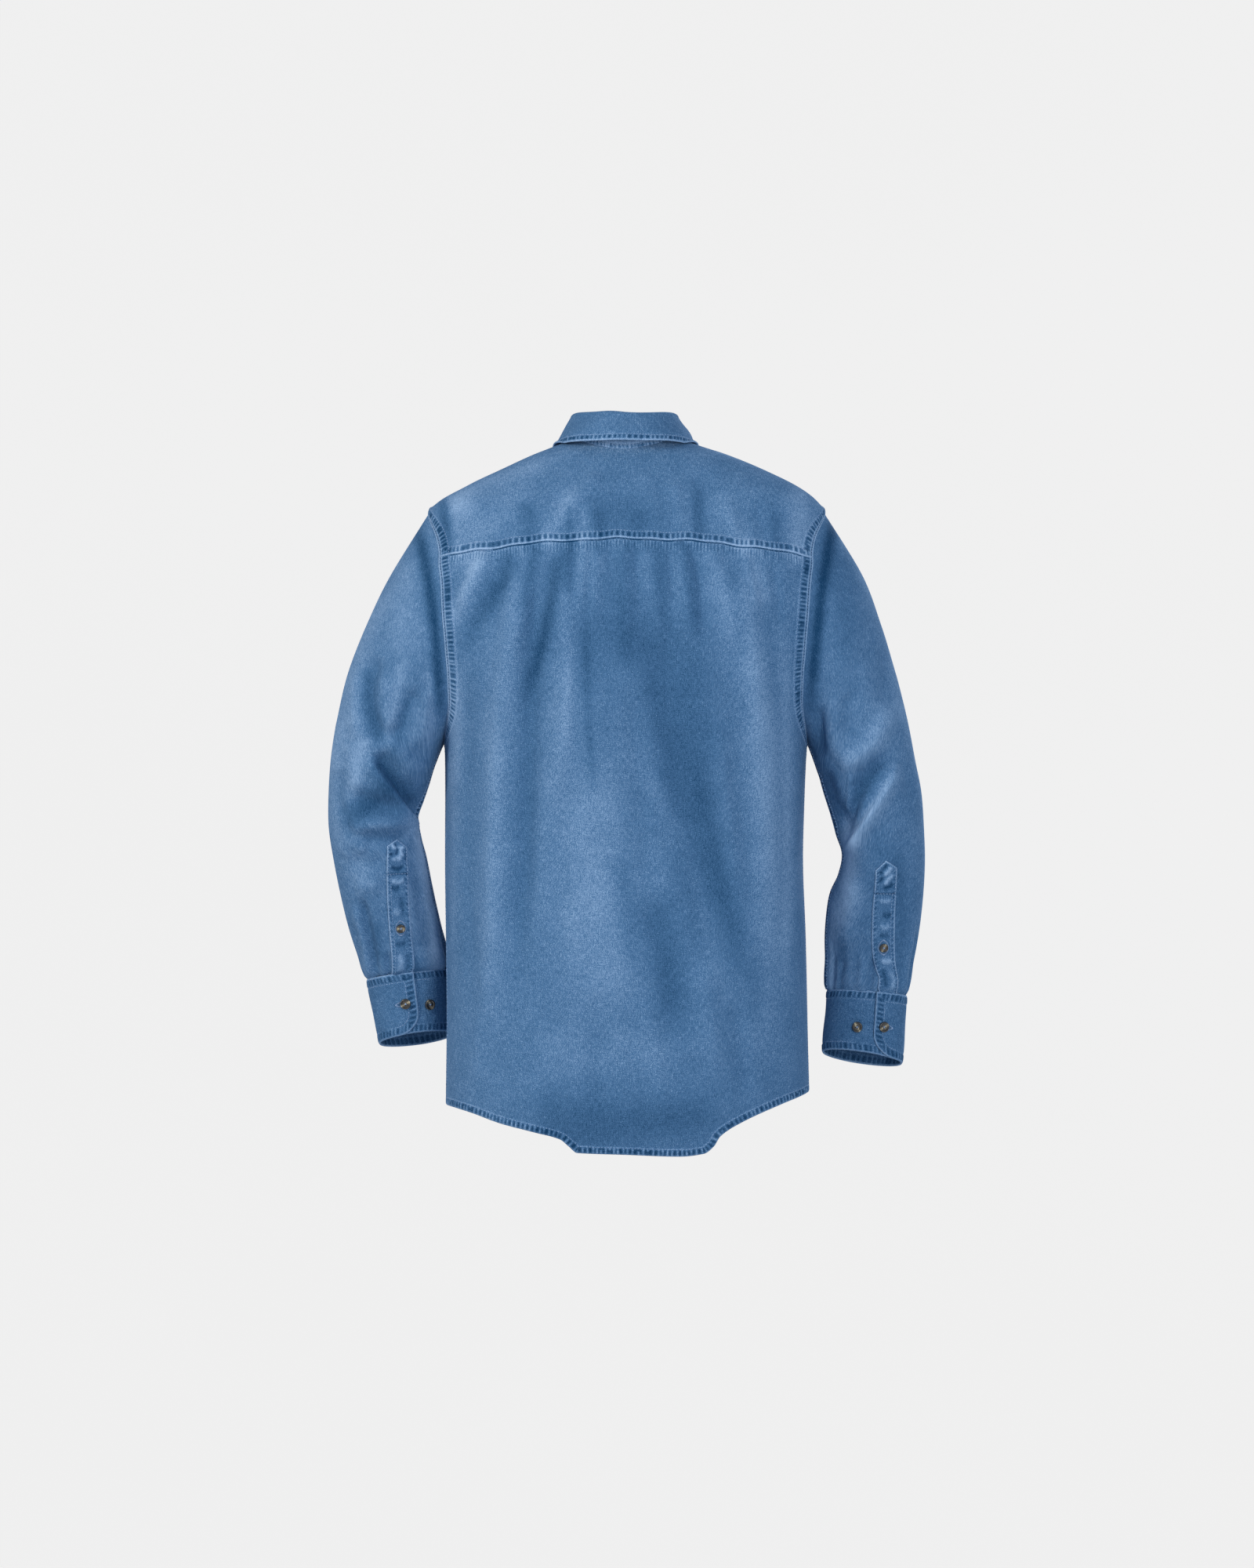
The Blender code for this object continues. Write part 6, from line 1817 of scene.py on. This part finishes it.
def buttonholeBars(place, along, outward, halfGape, halfLength=buttonhole["halfLength"]):
    count = int(4.2 * halfLength / buttonhole["pitch"])
    spin = np.linspace(0, 2 * math.pi, count, endpoint=False)
    across = np.cross(outward, along)
    x = np.cos(spin) * halfLength
    y = np.sign(np.sin(spin)) * halfGape * (1 - (x / halfLength) ** 2) ** 0.75
    ring = place + x[:, None] * along + y[:, None] * across
    radial = unit(np.cos(spin)[:, None] ** 5 * along + np.sin(spin)[:, None] * across)
    return ring, radial, np.broadcast_to(outward, ring.shape)


buttonBars, holeBars = [], []
for i in range(button["inBand"]):
    base = trunkAtX(0.0, button["first"] - i * button["spacing"], -1)
    outward = trunkNormal(base)
    out = bandLift + trunk["layerGap"] + float(trunkFolds(base[None])[0])
    buttonBars += makeButton(f"button_band_{i + 1}", base + out * outward, outward, spin=0.2 * i)
    along = unit(np.cross(np.cross(outward, upward), outward))
    holeBars.append(buttonholeBars(base + (out - trunk["layerGap"] - 0.05) * outward, along, outward, 1.0))

front = np.array(-math.pi / 2)
low, high = standFoot(front), standTop(front)
outward = unit(np.cross(high - low, np.array([-1.0, 0, 0])))
out = (trunk["doubled"] + trunk["layerGap"]) / 2 + trunk["doubled"] / 2 + trunk["layerGap"] + 0.1
place = low * 0.45 + high * 0.55
buttonBars += makeButton("button_collar_stand", place + out * outward, outward, spin=0.4)
holeBars.append(buttonholeBars(place + (out - 0.45) * outward, np.array([1.0, 0, 0]), outward, 0.9))

for side, label in sides:
    for number, (fromEnd, down) in enumerate(button[label + "Cuff"], start=1):
        turn = cuff[label + "End"] + math.radians(fromEnd)
        out = float(cuffLayer(math.radians(-fromEnd) % (2 * math.pi)))
        out = out + trunk["doubled"] / 2 + trunk["layerGap"]
        place, outward = cuffPoint(side, np.array(turn), np.array(down), np.array(out))
        buttonBars += makeButton(f"button_cuff_{label}_{number}", place, outward, spin=0.5 * number)
        if number == 1:
            beside, _ = cuffPoint(side, np.array(turn - 0.1), np.array(down), np.array(out))
            along = unit(beside - place)
            holeBars.append(buttonholeBars(place + 3.4 * along - 0.35 * outward, along, outward, 2.6))
    length, across = button[label + "Placket"]
    lying = sleevePlacket["gap"] + trunk["cloth"] + trunk["layerGap"]
    place, outward = placketPoint(side, np.array(length), np.array(across), np.array(lying))
    buttonBars += makeButton(f"button_placket_{label}", place, outward, button["placketScale"],
                             spin=0.3 * side)
    above, _ = placketPoint(side, np.array(length + 0.06), np.array(across), np.array(lying))
    holeBars.append(buttonholeBars(place - 0.25 * outward, unit(above - place), outward, 5.6, 8.6))
makeThreads("button_threads", buttonBars, "denim_trim", threadBar, askew=0)
makeThreads("buttonhole_threads", holeBars, "denim_trim", barShape, lift=0.1, askew=0)
bpy.data.meshes.remove(buttonMesh)
print("buttons made")

# Cloth sheets, each as it was cut
sheets = [
    (backCloth, backPanel, "gathered", ["yoke_cloth"], [*backHem, *sideTrims[1], *sideTrims[-1]]),
    (yokeCloth, yokePanel, "laid", ["mount:wearer_shoulders"], yokeTrims),
    (leftFront, frontPanel, "hung", ["yoke_cloth"], leftHem),
    (rightFront, frontPanel, "hung", ["yoke_cloth"], rightHem),
    (bandCloth, band, "laid", ["front_left_cloth"], [bandThreads]),
    (standCloth, collarStand, "stretched", ["yoke_cloth"], [standThreads]),
    (leafCloth, collarLeaf, "folded", ["collar_stand_cloth"], [leafThreads]),
]
for side, label in sides:
    panels = ["yoke_cloth", "back_cloth", f"front_{label}_cloth"]
    sheets.append((sleeveCloth[side], sleeve, "hung", panels, [*armholeTrims[side], *sleeveTrims[side]]))
for cloth, cut, held, trims in ((cuffCloth, cuff, "stretched", cuffTrims),
                                (placketCloth, sleevePlacket, "laid", placketTrims)):
    for side, label in sides:
        sheets.append((cloth[side], cut, held, [f"sleeve_{label}_cloth"], trims[side]))
for piece, cut, held, restsOn, withPieces in sheets:
    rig.sheet(piece, flat=cut["flat"], held=held, rests_on=restsOn, with_pieces=withPieces, area=cut["area"])

# Studio: a pale floor that sweeps up far away on every side, soft daylight and one large soft lamp
studio = {
    "floor": "#eeeeee",
    "floorHeight": -3.4,
    "floorRadius": 30.0,
    "sky": "#dcebff",
    "skyStrength": 0.48,
    "key": {"place": (3.7, 2.6, 1.5), "size": 1.3, "power": 130.0, "colour": "#fff6ee"},
    "fill": {"place": (-1.5, 4.2, 0.1), "size": 1.6, "power": 86.0, "colour": "#f6faff"},
    "rear": {"place": (-2.6, -4.4, 1.6), "size": 3.0, "power": 130.0, "colour": "#ffffff"},
}


# Matt pale paint; the large faint cloudiness is what a rolled finish leaves. The floor glows by what the sky
# alone leaves it short of its own colour, so it looks flat and pale
def paintFloor(tree):
    place = addNode(tree, "ShaderNodeTexCoord").outputs["Object"]
    clouds = addNode(tree, "ShaderNodeTexNoise", {"Scale": 0.6, "Detail": 2.0}, Vector=place).outputs["Fac"]
    ramp = addNode(tree, "ShaderNodeValToRGB", {"stops": ((0.0, "#ededed"), (1.0, "#f1f1f1"))}, Fac=clouds)
    floorTone, skyTone = linearColour(studio["floor"]), linearColour(studio["sky"])
    glow = [f * (1 - k * studio["skyStrength"]) for f, k in zip(floorTone[:3], skyTone)]
    return addNode(tree, "ShaderNodeBsdfPrincipled",
                   {"Roughness": 0.9, "Specular IOR Level": 0.0, "Emission Strength": 1.0,
                    "Emission Color": (*glow, 1)},
                   Base_Color=ramp.outputs["Color"])


def makeFloor():
    build = bmesh.new()
    radius, height = studio["floorRadius"], studio["floorHeight"]
    profile = [(0.0, height)] + [(radius * s, height) for s in (0.2, 0.45, 0.7)]
    profile += [(radius * (0.7 + 0.3 * math.sin(a)), height + 0.3 * radius * (1 - math.cos(a)))
                for a in np.linspace(0.1, math.pi / 2, 10)]
    verts = [build.verts.new((r, 0, z)) for r, z in profile]
    edges = [build.edges.new(pair) for pair in zip(verts, verts[1:])]
    bmesh.ops.spin(build, geom=verts + edges, cent=(0, 0, 0), axis=(0, 0, 1), angle=2 * math.pi, steps=64,
                   use_merge=True, use_duplicate=False)
    bmesh.ops.remove_doubles(build, verts=build.verts, dist=1e-5)
    bmesh.ops.recalc_face_normals(build, faces=build.faces)
    mesh = bpy.data.meshes.new("studio_floor")
    build.to_mesh(mesh)
    build.free()
    floor = newPiece("studio_floor", mesh, makeMaterial("paintedFloor", paintFloor))
    floor.visible_diffuse = False  # its glow stays off the cloth
    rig.stage(floor)


makeFloor()
world = bpy.data.worlds.new("studioSky")
world.use_nodes = True
sky = world.node_tree.nodes["Background"].inputs
sky["Color"].default_value = linearColour(studio["sky"])
sky["Strength"].default_value = studio["skyStrength"]
bpy.context.scene.world = world

aim = Vector((0.0, 0.0, -0.38))
for name in ("key", "fill", "rear"):
    lamp = bpy.data.lights.new(name, "AREA")
    lamp.size = studio[name]["size"]
    lamp.energy = studio[name]["power"]
    lamp.color = linearColour(studio[name]["colour"])[:3]
    holder = bpy.data.objects.new(name, lamp)
    holder.location = Vector(studio[name]["place"])
    holder.rotation_euler = (aim - holder.location).to_track_quat("-Z", "Y").to_euler()
    bpy.context.scene.collection.objects.link(holder)

# The long lens sees 1.73 m of height where the shirt is
camera = {"lens": 400.0, "sensor": 36.0, "seen": 1.730, "x": -0.0017, "z": -0.3702}
lens = bpy.data.cameras.new("camera")
lens.lens = camera["lens"]
lens.sensor_width = camera["sensor"]
eye = bpy.data.objects.new("camera", lens)
away = camera["seen"] * camera["lens"] / camera["sensor"]
eye.location = (camera["x"], away, camera["z"])
eye.rotation_euler = (math.pi / 2, 0, math.pi)
lens.clip_end = 200.0
bpy.context.scene.collection.objects.link(eye)
bpy.context.scene.camera = eye
bpy.context.scene.view_settings.view_transform = "Standard"
print("studio made")

seenLow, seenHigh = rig.bounds()
with open("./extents.json", "w") as f:
    json.dump({"cad": [list(cadLow), list(cadHigh)], "scene": [list(seenLow), list(seenHigh)]}, f)
